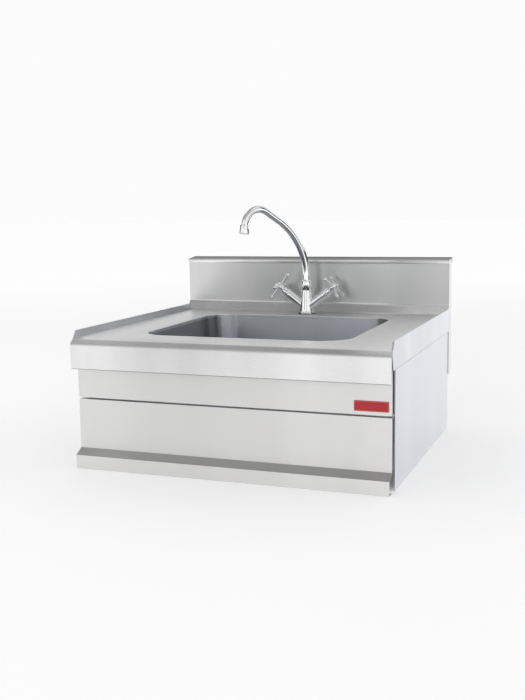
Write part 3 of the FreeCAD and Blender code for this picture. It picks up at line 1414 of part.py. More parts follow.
def make_valve(name, turn):
    """One rising-jumper valve with its cross handle."""
    gap = "Sizes.running_gap"
    chamber = "Sizes.valve_chamber_radius - Sizes.thread_gap"
    flange_top = "Sizes.arm_length + Sizes.bonnet_flange_length"
    neck_top = f"{flange_top} + Sizes.bonnet_neck_length"
    bore = f"Sizes.spindle_radius + {gap}"
    bonnet = turned(
        f"{name}_bonnet",
        [
            (bore, "Sizes.bonnet_start"),
            (chamber, "Sizes.bonnet_start"),
            (chamber, "Sizes.arm_length"),
            ("Sizes.bonnet_flange_radius", "Sizes.arm_length"),
            ("Sizes.bonnet_flange_radius", f"{flange_top} - 1"),
            ("Sizes.bonnet_flange_radius - 1", flange_top),
            ("Sizes.bonnet_neck_radius", f"{flange_top} + 1"),
            ("Sizes.bonnet_neck_radius", f"{neck_top} - 1.5"),
            ("Sizes.bonnet_neck_radius - 1.5", neck_top),
            (bore, neck_top),
        ],
    )
    groove = "Sizes.spindle_radius - 2 * Sizes.o_ring_radius - Sizes.thread_gap"
    low = "Sizes.gland_height - Sizes.o_ring_radius - 0.1"
    high = "Sizes.gland_height + Sizes.o_ring_radius + 0.1"
    collar_top = "Sizes.spindle_collar_start + Sizes.spindle_collar_length"
    socket_top = "Sizes.spindle_collar_start + Sizes.jumper_stem_length"
    spindle_top = "Sizes.handle_start + Sizes.hub_length / 2"
    screw_bore = "Sizes.handle_screw_radius + Sizes.thread_gap"
    spindle = turned(
        f"{name}_spindle",
        [
            ("Sizes.spindle_socket_radius", "Sizes.spindle_collar_start"),
            ("Sizes.spindle_collar_radius", "Sizes.spindle_collar_start"),
            ("Sizes.spindle_collar_radius", collar_top),
            ("Sizes.spindle_radius", collar_top),
            ("Sizes.spindle_radius", low),
            (groove, low),
            (groove, high),
            ("Sizes.spindle_radius", high),
            ("Sizes.spindle_radius", "Sizes.handle_start"),
            ("Sizes.spindle_end_radius", "Sizes.handle_start"),
            ("Sizes.spindle_end_radius", f"{spindle_top} - Sizes.spindle_end_gap"),
            (screw_bore, f"{spindle_top} - Sizes.spindle_end_gap"),
            (screw_bore, f"{spindle_top} - Sizes.handle_screw_length"),
            (0, f"{spindle_top} - Sizes.handle_screw_length"),
            (0, socket_top),
            ("Sizes.spindle_socket_radius", socket_top),
        ],
    )
    washer_foot = "Sizes.seat_depth + Sizes.seat_gap"
    washer_top = f"{washer_foot} + Sizes.seat_washer_thickness"
    disc_top = f"{washer_top} + Sizes.jumper_disc_thickness"
    washer_profile = ring_section("0", "Sizes.seat_washer_radius", washer_foot, washer_top)
    washer = turned(f"{name}_seat_washer", washer_profile)
    stem_top = f"{washer_top} + Sizes.jumper_stem_length"
    jumper = turned(
        f"{name}_jumper",
        [
            (0, washer_top),
            ("Sizes.jumper_disc_radius", washer_top),
            ("Sizes.jumper_disc_radius", disc_top),
            ("Sizes.jumper_stem_radius", disc_top),
            ("Sizes.jumper_stem_radius", stem_top),
            (0, stem_top),
        ],
    )
    for piece in (bonnet, washer, jumper):
        on_valve(piece, name)
    on_valve(spindle, name, turn)
    seal = primitive(
        "Torus", f"{name}_gland_ring",
        {"Radius1": "Sizes.spindle_radius - Sizes.o_ring_radius", "Radius2": "Sizes.o_ring_radius"},
        *valve_point(name, "Sizes.gland_height"), Y_AXIS, f"{VALVES[name]} * Sizes.valve_tilt",
    )
    finished(seal, f"{name}_gland_o_ring")
    make_handle(name, turn, spindle_top)


def make_handle(name, turn, spindle_top):
    """Cross handle with four ball-ended spokes, its screw and its cap."""
    start = "Sizes.handle_start"
    top = f"{start} + Sizes.hub_length"
    handle = turned(
        f"{name}_handle",
        [
            ("Sizes.spindle_end_radius", start),
            ("Sizes.hub_waist_radius", start),
            ("Sizes.hub_waist_radius", f"{start} + 3"),
            ("Sizes.hub_radius", f"{start} + 6"),
            ("Sizes.hub_radius", f"{top} - 1"),
            ("Sizes.hub_radius - 1", top),
            ("Sizes.cap_radius - 1.2", top),
            ("Sizes.cap_radius - 1.2", f"{top} - Sizes.cap_plug_length"),
            ("Sizes.handle_screw_head + 0.2", f"{top} - Sizes.cap_plug_length"),
            ("Sizes.handle_screw_head + 0.2", spindle_top),
            ("Sizes.spindle_end_radius", spindle_top),
        ],
    )
    level = f"{start} + Sizes.spoke_height"
    middle = "(Sizes.handle_reach - Sizes.ball_radius)"
    shoulder = f"({middle} - Sizes.ball_radius)"
    spoke = sketch_on(handle, f"{name}_spoke", "XZ_Plane")
    polygon(
        spoke,
        [
            ("Sizes.hub_waist_radius", 0),
            (middle, 0),
            (middle, "Sizes.spoke_tip_radius"),
            (shoulder, "Sizes.spoke_tip_radius"),
            ("Sizes.hub_waist_radius", "Sizes.spoke_root_radius"),
        ],
    )
    ball = sketch_on(handle, f"{name}_ball", "XZ_Plane")
    half_disc(ball, middle, "Sizes.ball_radius")
    arms = []
    for section in (spoke, ball):
        section.setExpression("AttachmentOffset.Base.y", level)
        arms.append(revolve(handle, section, "H_Axis"))
    pattern = handle.newObject("PartDesign::PolarPattern", f"{name}_spokes")
    pattern.Originals = arms
    axis = next(item for item in handle.Origin.OriginFeatures if item.Role == "Z_Axis")
    pattern.Axis = (axis, [""])
    pattern.Angle = 360
    pattern.Occurrences = 4
    handle.Tip = pattern
    doc.recompute()

    head_top = f"{spindle_top} + Sizes.handle_screw_head_height"
    shank_foot = f"{spindle_top} - Sizes.handle_screw_length + Sizes.spindle_end_gap"
    screw = turned(
        f"{name}_handle_screw",
        [
            (0, shank_foot),
            ("Sizes.handle_screw_radius", shank_foot),
            ("Sizes.handle_screw_radius", spindle_top),
            ("Sizes.handle_screw_head", spindle_top),
            ("Sizes.handle_screw_head", head_top),
            (0, head_top),
        ],
    )
    cap = turned(
        f"{name}_handle_cap",
        [
            (0, f"{top} - Sizes.cap_plug_length"),
            ("Sizes.cap_radius - 1.3", f"{top} - Sizes.cap_plug_length"),
            ("Sizes.cap_radius - 1.3", top),
            ("Sizes.cap_radius", top),
            ("Sizes.cap_radius * 0.9", f"{top} + Sizes.cap_height * 0.5"),
            ("Sizes.cap_radius * 0.6", f"{top} + Sizes.cap_height * 0.85"),
            (0, f"{top} + Sizes.cap_height"),
        ],
    )
    for piece in (handle, screw, cap):
        on_valve(piece, name, turn)


# ---------------------------------------------------------------- build, check and write


def check_document():
    """Stop if any object of the document failed, or if a piece is not a sound solid."""
    for item in doc.Objects:
        if "Invalid" in item.State or "Error" in item.State:
            raise RuntimeError(f"{item.Label} did not recompute: {item.State}")
    for piece in PIECES:
        shape = piece.Shape
        if shape.isNull() or not shape.isValid() or not shape.Solids:
            raise RuntimeError(f"{piece.Label} is not a valid solid")


def write_parts():
    """One STEP file for each piece, named after its label."""
    os.makedirs(PARTS_FOLDER, exist_ok=True)
    for piece in PIECES:
        piece.Shape.exportStep(os.path.join(PARTS_FOLDER, piece.Label + ".step"))


def main():
    make_worktop()
    make_bowl()
    make_splashback()
    make_side_panels()
    make_back_panel()
    make_front_panels()
    make_front_brackets()
    make_badge()
    make_rails()
    make_screws()
    make_waste()
    make_tap_body()
    make_tap_fixing()
    make_spout()
    make_aerator()
    make_valve("hot", 0)
    make_valve("cold", measure("Sizes.cold_handle_turn"))
    doc.removeObject(probe.Name)
    doc.recompute()
    check_document()
    write_parts()
    print(f"{len(PIECES)} pieces written")


main()
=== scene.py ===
# %% [markdown]
# # A stainless steel hand wash sink
#
# This lesson dresses a counter-top sink module: folded satin sheet, a drawn bowl, a basket
# strainer and a chromed mixer tap. The measured model comes first and is never moved, so every
# finish and every extra piece is fitted to it, in metres, with +X to the user's right, +Y
# towards the splashback and +Z up.

# %% Load the measured model
import bmesh
import bpy
import json
import math
from mathutils import Matrix, Vector


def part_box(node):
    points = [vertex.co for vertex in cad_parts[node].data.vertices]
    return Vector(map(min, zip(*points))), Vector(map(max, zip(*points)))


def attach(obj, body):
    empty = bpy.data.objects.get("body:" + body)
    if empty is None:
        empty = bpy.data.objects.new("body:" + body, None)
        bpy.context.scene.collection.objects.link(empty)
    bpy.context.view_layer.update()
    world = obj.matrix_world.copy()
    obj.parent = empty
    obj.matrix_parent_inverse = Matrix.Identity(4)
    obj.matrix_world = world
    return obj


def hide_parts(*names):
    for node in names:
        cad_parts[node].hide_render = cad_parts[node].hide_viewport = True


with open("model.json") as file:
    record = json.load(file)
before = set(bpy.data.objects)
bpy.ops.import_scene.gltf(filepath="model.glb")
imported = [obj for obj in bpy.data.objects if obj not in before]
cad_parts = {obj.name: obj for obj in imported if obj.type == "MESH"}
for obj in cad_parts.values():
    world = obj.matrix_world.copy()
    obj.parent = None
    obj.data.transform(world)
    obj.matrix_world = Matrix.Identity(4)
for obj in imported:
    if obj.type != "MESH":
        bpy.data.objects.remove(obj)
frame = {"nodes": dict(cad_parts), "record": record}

scene = bpy.context.scene
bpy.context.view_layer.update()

# %% [markdown]
# ## The camera
#
# The picture was taken a little above the deck and from the user's right. A long lens keeps the
# uprights nearly parallel. The camera is placed by a target point, two angles, a distance and a
# slight roll, because these are the numbers a photographer could read off a tripod.

# %% Place the camera
AZIMUTH, ELEVATION, ROLL = (math.radians(v) for v in (20.904, 8.5, -0.909))
DISTANCE = 2.2313
TARGET = Vector((-0.0243, -0.025, 0.2286))
LENS = 49.65
SENSOR_WIDTH = 36

back = Vector((
    math.sin(AZIMUTH) * math.cos(ELEVATION),
    -math.cos(AZIMUTH) * math.cos(ELEVATION),
    math.sin(ELEVATION),
))
level = Vector((math.cos(AZIMUTH), math.sin(AZIMUTH), 0))
upward = back.cross(level)
across = level * math.cos(ROLL) + upward * math.sin(ROLL)
upward = back.cross(across)

camera = bpy.data.objects.new("camera", bpy.data.cameras.new("camera"))
camera.data.lens = LENS
camera.data.sensor_width = SENSOR_WIDTH
camera.matrix_world = Matrix.Translation(TARGET + back * DISTANCE) @ Matrix(
    (across, upward, back)
).transposed().to_4x4()
scene.collection.objects.link(camera)
scene.camera = camera
print("camera stands at", tuple(round(v, 3) for v in camera.matrix_world.translation))

# %% [markdown]
# ## The studio
#
# Polished and brushed metal show the room more than themselves, so the room is the first
# finish. A real product studio has white walls, a pale floor and a greyer ceiling. The world
# is a gradient by height that does the same: white at the horizon, where the camera looks, and
# grey overhead, which is what gives a level steel surface its darker tone. The half in front of
# the sink greys sooner than the half behind it.

# %% Colour management and the world
scene.view_settings.view_transform = "Standard"


def new_node(tree, kind, **settings):
    """Add a node of a kind, and set its properties and its named input values."""
    node = tree.nodes.new(kind)
    for key, value in settings.items():
        if hasattr(node, key):
            setattr(node, key, value)
        else:
            node.inputs[key.replace("_", " ")].default_value = value
    return node


def ramp_stops(node, stops):
    """Give a colour ramp its stops, as (position, grey or colour) pairs."""
    elements = node.color_ramp.elements
    while len(elements) > len(stops):
        elements.remove(elements[-1])
    while len(elements) < len(stops):
        elements.new(1.0)
    for element, (position, colour) in zip(elements, stops):
        element.position = position
        shade = colour if isinstance(colour, tuple) else (colour,) * 3
        element.color = (*shade, 1.0)


def join(tree, *pairs):
    """Link pairs of sockets."""
    for source, target in pairs:
        tree.links.new(source, target)


REAR_SKY = [(0.0, 0.97), (0.45, 0.97), (0.70, 0.80), (0.86, 0.52), (0.97, 0.17)]
FRONT_SKY = [(0.0, 0.95), (0.25, 0.93), (0.60, 0.44), (0.86, 0.42), (1.0, 0.18)]
SKY_SEAM = 0.15

world = bpy.data.worlds.new("studio")
scene.world = world
world.use_nodes = True
sky = world.node_tree
sky.nodes.clear()
sky_way = new_node(sky, "ShaderNodeTexCoord")
sky_axes = new_node(sky, "ShaderNodeSeparateXYZ")
rear_tone = new_node(sky, "ShaderNodeValToRGB")
front_tone = new_node(sky, "ShaderNodeValToRGB")
ramp_stops(rear_tone, REAR_SKY)
ramp_stops(front_tone, FRONT_SKY)
sky_side = new_node(sky, "ShaderNodeMapRange")
sky_side.inputs["From Min"].default_value = -SKY_SEAM
sky_side.inputs["From Max"].default_value = SKY_SEAM
sky_blend = new_node(sky, "ShaderNodeMix", data_type="RGBA")
sky_light = new_node(sky, "ShaderNodeBackground", Strength=1.0)
sky_out = new_node(sky, "ShaderNodeOutputWorld")
join(
    sky,
    (sky_way.outputs["Generated"], sky_axes.inputs[0]),
    (sky_axes.outputs["Z"], rear_tone.inputs["Fac"]),
    (sky_axes.outputs["Z"], front_tone.inputs["Fac"]),
    (sky_axes.outputs["Y"], sky_side.inputs["Value"]),
    (sky_side.outputs[0], sky_blend.inputs[0]),
    (front_tone.outputs["Color"], sky_blend.inputs[6]),
    (rear_tone.outputs["Color"], sky_blend.inputs[7]),
    (sky_blend.outputs[2], sky_light.inputs["Color"]),
    (sky_light.outputs[0], sky_out.inputs["Surface"]),
)
print("world tones:", len(REAR_SKY), "behind and", len(FRONT_SKY), "in front")

# %% [markdown]
# The floor is plain and pale. Part of its brightness is its own, seen by the camera and in
# reflections only, so that it meets the white horizon without a line, while the matt part of it
# still takes the soft shadow under the module.

# %% The floor
FLOOR_SIZE = 60.0
# Near and far distance from the middle, and the glow at each.
FLOOR_GLOW = (1.0, 5.0, 0.385, 0.51)
MIRRORED_GLOW = 1.35


def quad_sheet(name, corners):
    """A single four-cornered sheet."""
    mesh = bpy.data.meshes.new(name)
    mesh.from_pydata([tuple(c) for c in corners], [], [tuple(range(len(corners)))])
    sheet = bpy.data.objects.new(name, mesh)
    scene.collection.objects.link(sheet)
    return sheet


def bare_material(name):
    """A material with an empty node tree."""
    material = bpy.data.materials.new(name)
    material.use_nodes = True
    material.node_tree.nodes.clear()
    return material, material.node_tree


def floor_finish():
    """Matt white paint with a glow that only the camera and reflections see."""
    material, tree = bare_material("studio_floor")
    matt = new_node(tree, "ShaderNodeBsdfDiffuse", Color=(0.80, 0.80, 0.80, 1))
    glow = new_node(tree, "ShaderNodeEmission", Color=(1, 1, 1, 1))
    path = new_node(tree, "ShaderNodeLightPath")
    seen = new_node(tree, "ShaderNodeMath", operation="MULTIPLY_ADD")
    seen.inputs[1].default_value = MIRRORED_GLOW
    shown = new_node(tree, "ShaderNodeMath", operation="MAXIMUM")
    level_of_glow = new_node(tree, "ShaderNodeMath", operation="MULTIPLY")
    where = new_node(tree, "ShaderNodeTexCoord")
    reach = new_node(tree, "ShaderNodeVectorMath", operation="LENGTH")
    far = new_node(tree, "ShaderNodeMapRange")
    for label, value in zip(("From Min", "From Max", "To Min", "To Max"), FLOOR_GLOW):
        far.inputs[label].default_value = value
    both = new_node(tree, "ShaderNodeAddShader")
    out = new_node(tree, "ShaderNodeOutputMaterial")
    join(
        tree,
        (where.outputs["Object"], reach.inputs[0]),
        (reach.outputs["Value"], far.inputs["Value"]),
        (far.outputs[0], level_of_glow.inputs[1]),
        (path.outputs["Is Glossy Ray"], seen.inputs[0]),
        (path.outputs["Is Camera Ray"], seen.inputs[2]),
        (seen.outputs[0], shown.inputs[0]),
        (path.outputs["Is Transmission Ray"], shown.inputs[1]),
        (shown.outputs[0], level_of_glow.inputs[0]),
        (level_of_glow.outputs[0], glow.inputs["Strength"]),
        (matt.outputs[0], both.inputs[0]),
        (glow.outputs[0], both.inputs[1]),
        (both.outputs[0], out.inputs["Surface"]),
    )
    return material


half = FLOOR_SIZE / 2
floor_corners = [(-half, -half, 0), (half, -half, 0), (half, half, 0), (-half, half, 0)]
floor = quad_sheet("floor", floor_corners)
floor.data.materials.append(floor_finish())
print("floor laid")

# %% [markdown]
# Large soft lamps light the floor and everything matt. The metals don't see them: what a metal
# mirrors is made by cards, sheets of one even tone that only reflections see. A bright card
# overhead lights the ramp, a grey one in front calms the middle of the splashback, and dark ones
# draw the black lines that chrome needs, because a mirror in an all-white room loses its shape.

# %% Lamps and cards
def soft_lamp(name, place, aim, width, height, power):
    """A rectangular lamp that points at aim."""
    lamp = bpy.data.objects.new(name, bpy.data.lights.new(name, "AREA"))
    lamp.data.shape = "RECTANGLE"
    lamp.data.size, lamp.data.size_y = width, height
    lamp.data.energy = power
    lamp.location = place
    lamp.rotation_mode = "QUATERNION"
    lamp.rotation_quaternion = (Vector(place) - Vector(aim)).to_track_quat("Z", "Y")
    lamp.visible_glossy = False
    scene.collection.objects.link(lamp)


def card(name, corners, tone):
    """A sheet of one even tone that only reflections see."""
    sheet = quad_sheet(name, corners)
    material, tree = bare_material(name)
    glow = new_node(tree, "ShaderNodeEmission", Color=(tone, tone, tone, 1), Strength=1.0)
    out = new_node(tree, "ShaderNodeOutputMaterial")
    tree.links.new(glow.outputs[0], out.inputs["Surface"])
    sheet.data.materials.append(material)
    for kind in ("camera", "diffuse", "shadow", "transmission", "volume_scatter"):
        setattr(sheet, f"visible_{kind}", False)


def upright_card(name, start, end, low, high, tone):
    """A card standing on the line between two floor points."""
    corners = [(*start, low), (*end, low), (*end, high), (*start, high)]
    card(name, corners, tone)


def level_card(name, low, high, height, tone):
    """A card hung level overhead."""
    outline = [low, (high[0], low[1]), high, (low[0], high[1])]
    card(name, [(*place, height) for place in outline], tone)


soft_lamp("front_lamp", (-0.3, -1.6, 2.0), (0, 0, 0.25), 1.8, 0.7, 5)
soft_lamp("left_lamp", (-2.2, -0.4, 1.3), (0, 0, 0.3), 1.2, 1.4, 5)
soft_lamp("right_lamp", (2.2, 0.2, 1.3), (0, 0, 0.3), 1.2, 1.4, 5)

level_card("overhead_card", (-0.05, -0.4), (1.0, 0.6), 1.5, 0.75)
upright_card("grey_wall", (-1.72, -3.0), (-0.82, -3.0), 0.0, 0.60, 0.44)
upright_card("front_fill", (-0.66, -3.1), (-0.05, -3.1), 0.0, 1.1, 1.10)
upright_card("rear_flag", (-0.8, 0.36), (0.8, 0.36), 0.426, 0.475, 0.06)
upright_card("left_flag", (-1.30, -0.25), (-1.30, 0.50), 0.20, 1.6, 0.02)
upright_card("right_flag", (1.10, 0.02), (1.10, 0.38), 0.20, 1.6, 0.02)
upright_card("front_flag", (0.26, -2.4), (0.48, -2.4), 0.30, 1.8, 0.02)
print("lamps and cards set")

# %% [markdown]
# ## Brushed sheet
#
# Stainless sheet comes with a satin finish: fine parallel scratches from an abrasive belt, all
# along the length of the strip it was cut from. Across the scratches a reflection is smeared,
# along them it stays sharper, so a level belt line gives tall soft patches of light. One node
# group makes the scratches for every steel finish and also paints such patches of light into the
# colour, as soft upright stripes of lighter and darker tone. A second one tells the faces that
# look sideways, whose belt line runs front to back; those faces also get a painted darker shade.

# %% Two shared effects
SIDE_LIMIT = 0.7


def effect_group(name, inputs, outputs):
    """An empty shader node group with named sockets."""
    group = bpy.data.node_groups.new(name, "ShaderNodeTree")
    for label, kind, value in inputs:
        socket = group.interface.new_socket(label, in_out="INPUT", socket_type=kind)
        if value is not None:
            socket.default_value = value
    for label, kind in outputs:
        group.interface.new_socket(label, in_out="OUTPUT", socket_type=kind)
    return group, group.nodes.new("NodeGroupInput"), group.nodes.new("NodeGroupOutput")


def noise_layer(tree, source, spread, scale, detail):
    """Noise on coordinates that are stretched by spread."""
    mapping = new_node(tree, "ShaderNodeMapping")
    mapping.inputs["Scale"].default_value = spread
    noise = new_node(tree, "ShaderNodeTexNoise", Scale=scale, Detail=detail)
    tree.links.new(source, mapping.inputs["Vector"])
    tree.links.new(mapping.outputs[0], noise.inputs["Vector"])
    return noise


def belt_grain_and_painted_light():
    """Belt scratches along X as a height and a roughness change, and painted light as upright tone
    stripes.
    """
    values = {"Tone Low": 0.9, "Tone High": 1.0, "Roughness Low": 0.3, "Roughness High": 0.34}
    ins = [("Along", "NodeSocketVector", None)]
    ins += [(label, "NodeSocketFloat", value) for label, value in values.items()]
    outs = [(label, "NodeSocketFloat") for label in ("Height", "Tone", "Roughness")]
    group, ins, outs = effect_group("belt_grain_and_painted_light", ins, outs)
    along = ins.outputs["Along"]
    fine = noise_layer(group, along, (1.0, 90.0, 90.0), 40.0, 3.0)
    # Painted light: broad upright stripes of lighter and darker tone stand in for reflected light.
    light_patches = noise_layer(group, along, (9.0, 0.8, 0.8), 1.0, 2.0)
    scratch = noise_layer(group, along, (1.0, 40.0, 40.0), 20.0, 3.0)
    group.links.new(fine.outputs[0], outs.inputs["Height"])
    for label, source in (("Tone", light_patches), ("Roughness", scratch)):
        spread = new_node(group, "ShaderNodeMapRange")
        spread.inputs["From Min"].default_value = 0.3
        spread.inputs["From Max"].default_value = 0.7
        join(
            group,
            (source.outputs[0], spread.inputs["Value"]),
            (ins.outputs[f"{label} Low"], spread.inputs["To Min"]),
            (ins.outputs[f"{label} High"], spread.inputs["To Max"]),
            (spread.outputs[0], outs.inputs[label]),
        )
    return group


def side_facing():
    """A mask that is 1 on faces that look along X and 0 on the others."""
    group, ins, outs = effect_group("side_facing", [], [("Side", "NodeSocketFloat")])
    where = new_node(group, "ShaderNodeTexCoord")
    axes = new_node(group, "ShaderNodeSeparateXYZ")
    size = new_node(group, "ShaderNodeMath", operation="ABSOLUTE")
    mask = new_node(group, "ShaderNodeMath", operation="GREATER_THAN")
    mask.inputs[1].default_value = SIDE_LIMIT
    join(
        group,
        (where.outputs["Normal"], axes.inputs[0]),
        (axes.outputs["X"], size.inputs[0]),
        (size.outputs[0], mask.inputs[0]),
        (mask.outputs[0], outs.inputs["Side"]),
    )
    return group


grain, sideways = belt_grain_and_painted_light(), side_facing()
print("effects:", [group.name for group in bpy.data.node_groups])

# %% [markdown]
# The four steels share those effects and differ in tone, roughness and how far the scratches
# smear a reflection. The tangent stands square to the grain: across the sheet on faces with a
# belt line along X, and upright on faces that look sideways. Those also get a darker, bluer
# colour, which is painted shade.

# %% Steel finishes
ACROSS = (0.0, 0.7, 0.7)
UPWARD = (0.0, 0.0, 1.0)
# Painted shade: faces that look sideways get this darker, bluer colour.
PAINTED_SIDE_SHADE = (0.66, 0.67, 0.715)
SCRATCH_DEPTH = 0.0003


def mixed(tree, kind, factor, first, second, blend="MIX"):
    """A mix of two sockets or values, colours or vectors. It returns the result's socket."""
    node = new_node(tree, "ShaderNodeMix", data_type=kind)
    if kind == "RGBA":
        node.blend_type = blend
    start = 6 if kind == "RGBA" else 4
    for index, value in ((0, factor), (start, first), (start + 1, second)):
        if hasattr(value, "is_output"):
            tree.links.new(value, node.inputs[index])
        else:
            node.inputs[index].default_value = value
    return node.outputs[2 if kind == "RGBA" else 1]


def brushed_steel(name, colour, rough, anisotropy=0.9, tone=(0.90, 1.0), painted_side_shade=PAINTED_SIDE_SHADE):
    """Satin stainless, its belt line along X, or along Y on sideways faces, which get painted
    shade.
    """
    material = bpy.data.materials.new(name)
    material.use_nodes = True
    tree = material.node_tree
    shader = tree.nodes["Principled BSDF"]
    shader.inputs["Metallic"].default_value = 1.0
    shader.inputs["Anisotropic"].default_value = anisotropy
    where = new_node(tree, "ShaderNodeTexCoord")
    turned = new_node(tree, "ShaderNodeMapping")
    turned.inputs["Rotation"].default_value = (0, 0, math.radians(90))
    side = new_node(tree, "ShaderNodeGroup")
    side.node_tree = sideways
    belt = new_node(tree, "ShaderNodeGroup")
    belt.node_tree = grain
    belt.inputs["Tone Low"].default_value, belt.inputs["Tone High"].default_value = tone
    belt.inputs["Roughness Low"].default_value = rough[0]
    belt.inputs["Roughness High"].default_value = rough[1]
    bump = new_node(tree, "ShaderNodeBump", Strength=0.005, Distance=SCRATCH_DEPTH)
    tree.links.new(where.outputs["Object"], turned.inputs["Vector"])
    mask = side.outputs["Side"]
    along = mixed(tree, "VECTOR", mask, where.outputs["Object"], turned.outputs[0])
    tangent = mixed(tree, "VECTOR", mask, ACROSS, UPWARD)
    base = mixed(tree, "RGBA", mask, (*colour, 1), (*painted_side_shade, 1))
    toned = mixed(tree, "RGBA", 1.0, base, belt.outputs["Tone"], "MULTIPLY")
    join(
        tree,
        (along, belt.inputs["Along"]),
        (toned, shader.inputs["Base Color"]),
        (belt.outputs["Roughness"], shader.inputs["Roughness"]),
        (belt.outputs["Height"], bump.inputs["Height"]),
        (bump.outputs[0], shader.inputs["Normal"]),
        (tangent, shader.inputs["Tangent"]),
    )
    return material


# Each tone pair is the range of the painted light stripes on that steel.
satin_top = brushed_steel("satin_worktop", (0.85, 0.85, 0.85), (0.27, 0.30), tone=(0.84, 1.0))
satin_panel = brushed_steel("satin_panels", (0.76, 0.755, 0.75), (0.31, 0.34), tone=(0.95, 1.0))
satin_splash = brushed_steel("satin_splashback", (0.74, 0.745, 0.74), (0.28, 0.31), 0.95)
# The bowl's walls that look sideways get a much darker painted shade.
satin_bowl = brushed_steel(
    "satin_bowl", (0.58, 0.60, 0.64), (0.30, 0.36), 0.6, painted_side_shade=(0.34, 0.35, 0.36)
)
print("steels:", [m.name for m in (satin_top, satin_panel, satin_splash, satin_bowl)])

# %% [markdown]
# ## Chrome, brass, rubber and the rest
#
# Chrome plating is almost a mirror. A faint mottle in its roughness stands for water marks and
# handling, and keeps it from looking like a computer's idea of chrome. The hidden fittings get
# their own plain finishes, because the part is also looked at from below and taken apart.

# %% A finish for everything that isn't sheet
def mottled(name, colour, metallic, rough, scale=40.0, relief=0.0, shade=0.06, coat=0.0):
    """A finish whose tone and roughness wander softly over the surface."""
    material = bpy.data.materials.new(name)
    material.use_nodes = True
    tree = material.node_tree
    shader = tree.nodes["Principled BSDF"]
    shader.inputs["Metallic"].default_value = metallic
    shader.inputs["Coat Weight"].default_value = coat
    where = new_node(tree, "ShaderNodeTexCoord")
    noise = new_node(tree, "ShaderNodeTexNoise", Scale=scale, Detail=4.0)
    tone = new_node(tree, "ShaderNodeValToRGB")
    dark = tuple(c * (1 - shade) for c in colour)
    ramp_stops(tone, [(0.35, dark), (0.65, colour)])
    gloss = new_node(tree, "ShaderNodeMapRange")
    gloss.inputs["To Min"].default_value, gloss.inputs["To Max"].default_value = rough
    join(
        tree,
        (where.outputs["Object"], noise.inputs["Vector"]),
        (noise.outputs[0], tone.inputs["Fac"]),
        (noise.outputs[0], gloss.inputs["Value"]),
        (tone.outputs["Color"], shader.inputs["Base Color"]),
        (gloss.outputs[0], shader.inputs["Roughness"]),
    )
    if relief:
        bump = new_node(tree, "ShaderNodeBump", Strength=relief, Distance=0.0005)
        tree.links.new(noise.outputs[0], bump.inputs["Height"])
        tree.links.new(bump.outputs[0], shader.inputs["Normal"])
    return material


finishes = {
    "sheet_steel": satin_panel,
    "bowl_steel": satin_bowl,
    "chrome": mottled("chrome_plate", (0.95, 0.955, 0.96), 1.0, (0.02, 0.06), 60, 0.0, 0.03),
    "polished_steel": mottled("polished_steel", (0.72, 0.72, 0.73), 1.0, (0.12, 0.22), 90),
    "red_plate": mottled("red_enamel", (0.60, 0.012, 0.020), 0.0, (0.30, 0.38), 60, 0.0, 0.04, 0.1),
    "black_rubber": mottled("black_rubber", (0.022, 0.022, 0.024), 0.0, (0.55, 0.8), 300, 0.3, 0.3),
    "brass": mottled("turned_brass", (0.72, 0.52, 0.24), 1.0, (0.2, 0.36), 150, 0.05, 0.15),
    "copper": mottled("drawn_copper", (0.74, 0.36, 0.22), 1.0, (0.22, 0.4), 60, 0.05, 0.25),
    "zinc_steel": mottled("zinc_plate", (0.58, 0.58, 0.55), 1.0, (0.3, 0.5), 200, 0.1, 0.15),
    "white_plastic": mottled("white_moulding", (0.78, 0.78, 0.75), 0.0, (0.35, 0.5), 200, 0.05),
    "grey_plastic": mottled("grey_moulding", (0.30, 0.31, 0.32), 0.0, (0.4, 0.55), 200, 0.1, 0.1),
}
print("finishes:", len(finishes))

# %% [markdown]
# ## Dressing the measured pieces
#
# The sheets, the bowl and the fittings already have their right shapes, so they are kept. Three
# modifiers finish them without touching their meshes: Weld joins the loose triangles, Bevel
# takes the knife edge off every corner, so that it catches a line of light as real metal does,
# and Weighted Normal keeps the flats flat.

# %% Smooth, bevel and paint each piece
STEEL_OF = {
    "worktop": satin_top,
    "splashback": satin_splash,
    "splashback_end_left": satin_splash,
    "splashback_end_right": satin_splash,
}
EDGE = {"sheet_steel": 0.0004, "bowl_steel": 0.0003, "chrome": 0.0003, "red_plate": 0.0003}
PLAIN_EDGE = 0.0002
SHARP_CORNER = math.radians(35)
WELD_REACH = 0.00001


def soften(piece, width, by_angle=False):
    """Join the triangles, round the edges and keep the flats flat."""
    for polygon in piece.data.polygons:
        polygon.use_smooth = True
    weld = piece.modifiers.new("weld", "WELD")
    weld.merge_threshold = WELD_REACH
    bevel = piece.modifiers.new("soft_edges", "BEVEL")
    bevel.width = width
    bevel.segments = 2
    bevel.limit_method = "ANGLE"
    bevel.angle_limit = SHARP_CORNER
    flats = piece.modifiers.new("flats", "WEIGHTED_NORMAL")
    flats.keep_sharp = True
    flats.mode = "CORNER_ANGLE" if by_angle else "FACE_AREA"


slot_of = {part["node"]: part["material_slot"] for part in frame["record"]["subparts"]}
for node, slot_name in slot_of.items():
    piece = frame["nodes"][node]
    soften(piece, EDGE.get(slot_name, PLAIN_EDGE), slot_name == "chrome")
    piece.data.materials.clear()
    piece.data.materials.append(STEEL_OF.get(node, finishes[slot_name]))
print("dressed", len(slot_of), "pieces")

# %% [markdown]
# ## The bent tube
#
# The measured spout is a mesh of flat facets, and a mirror finish shows every one of them. The
# spout is therefore drawn again from the same centre line: a short rise, a wide sweep, a straight
# lean and a tight crook. The ring of points is carried along that line, outside and then back
# inside, so that the tube has its real wall.

# %% Draw the spout again, smoothly
TAP_AXIS = Vector((0.0, 0.231, 0.286))
SWIVEL = math.radians(-90 - 38)
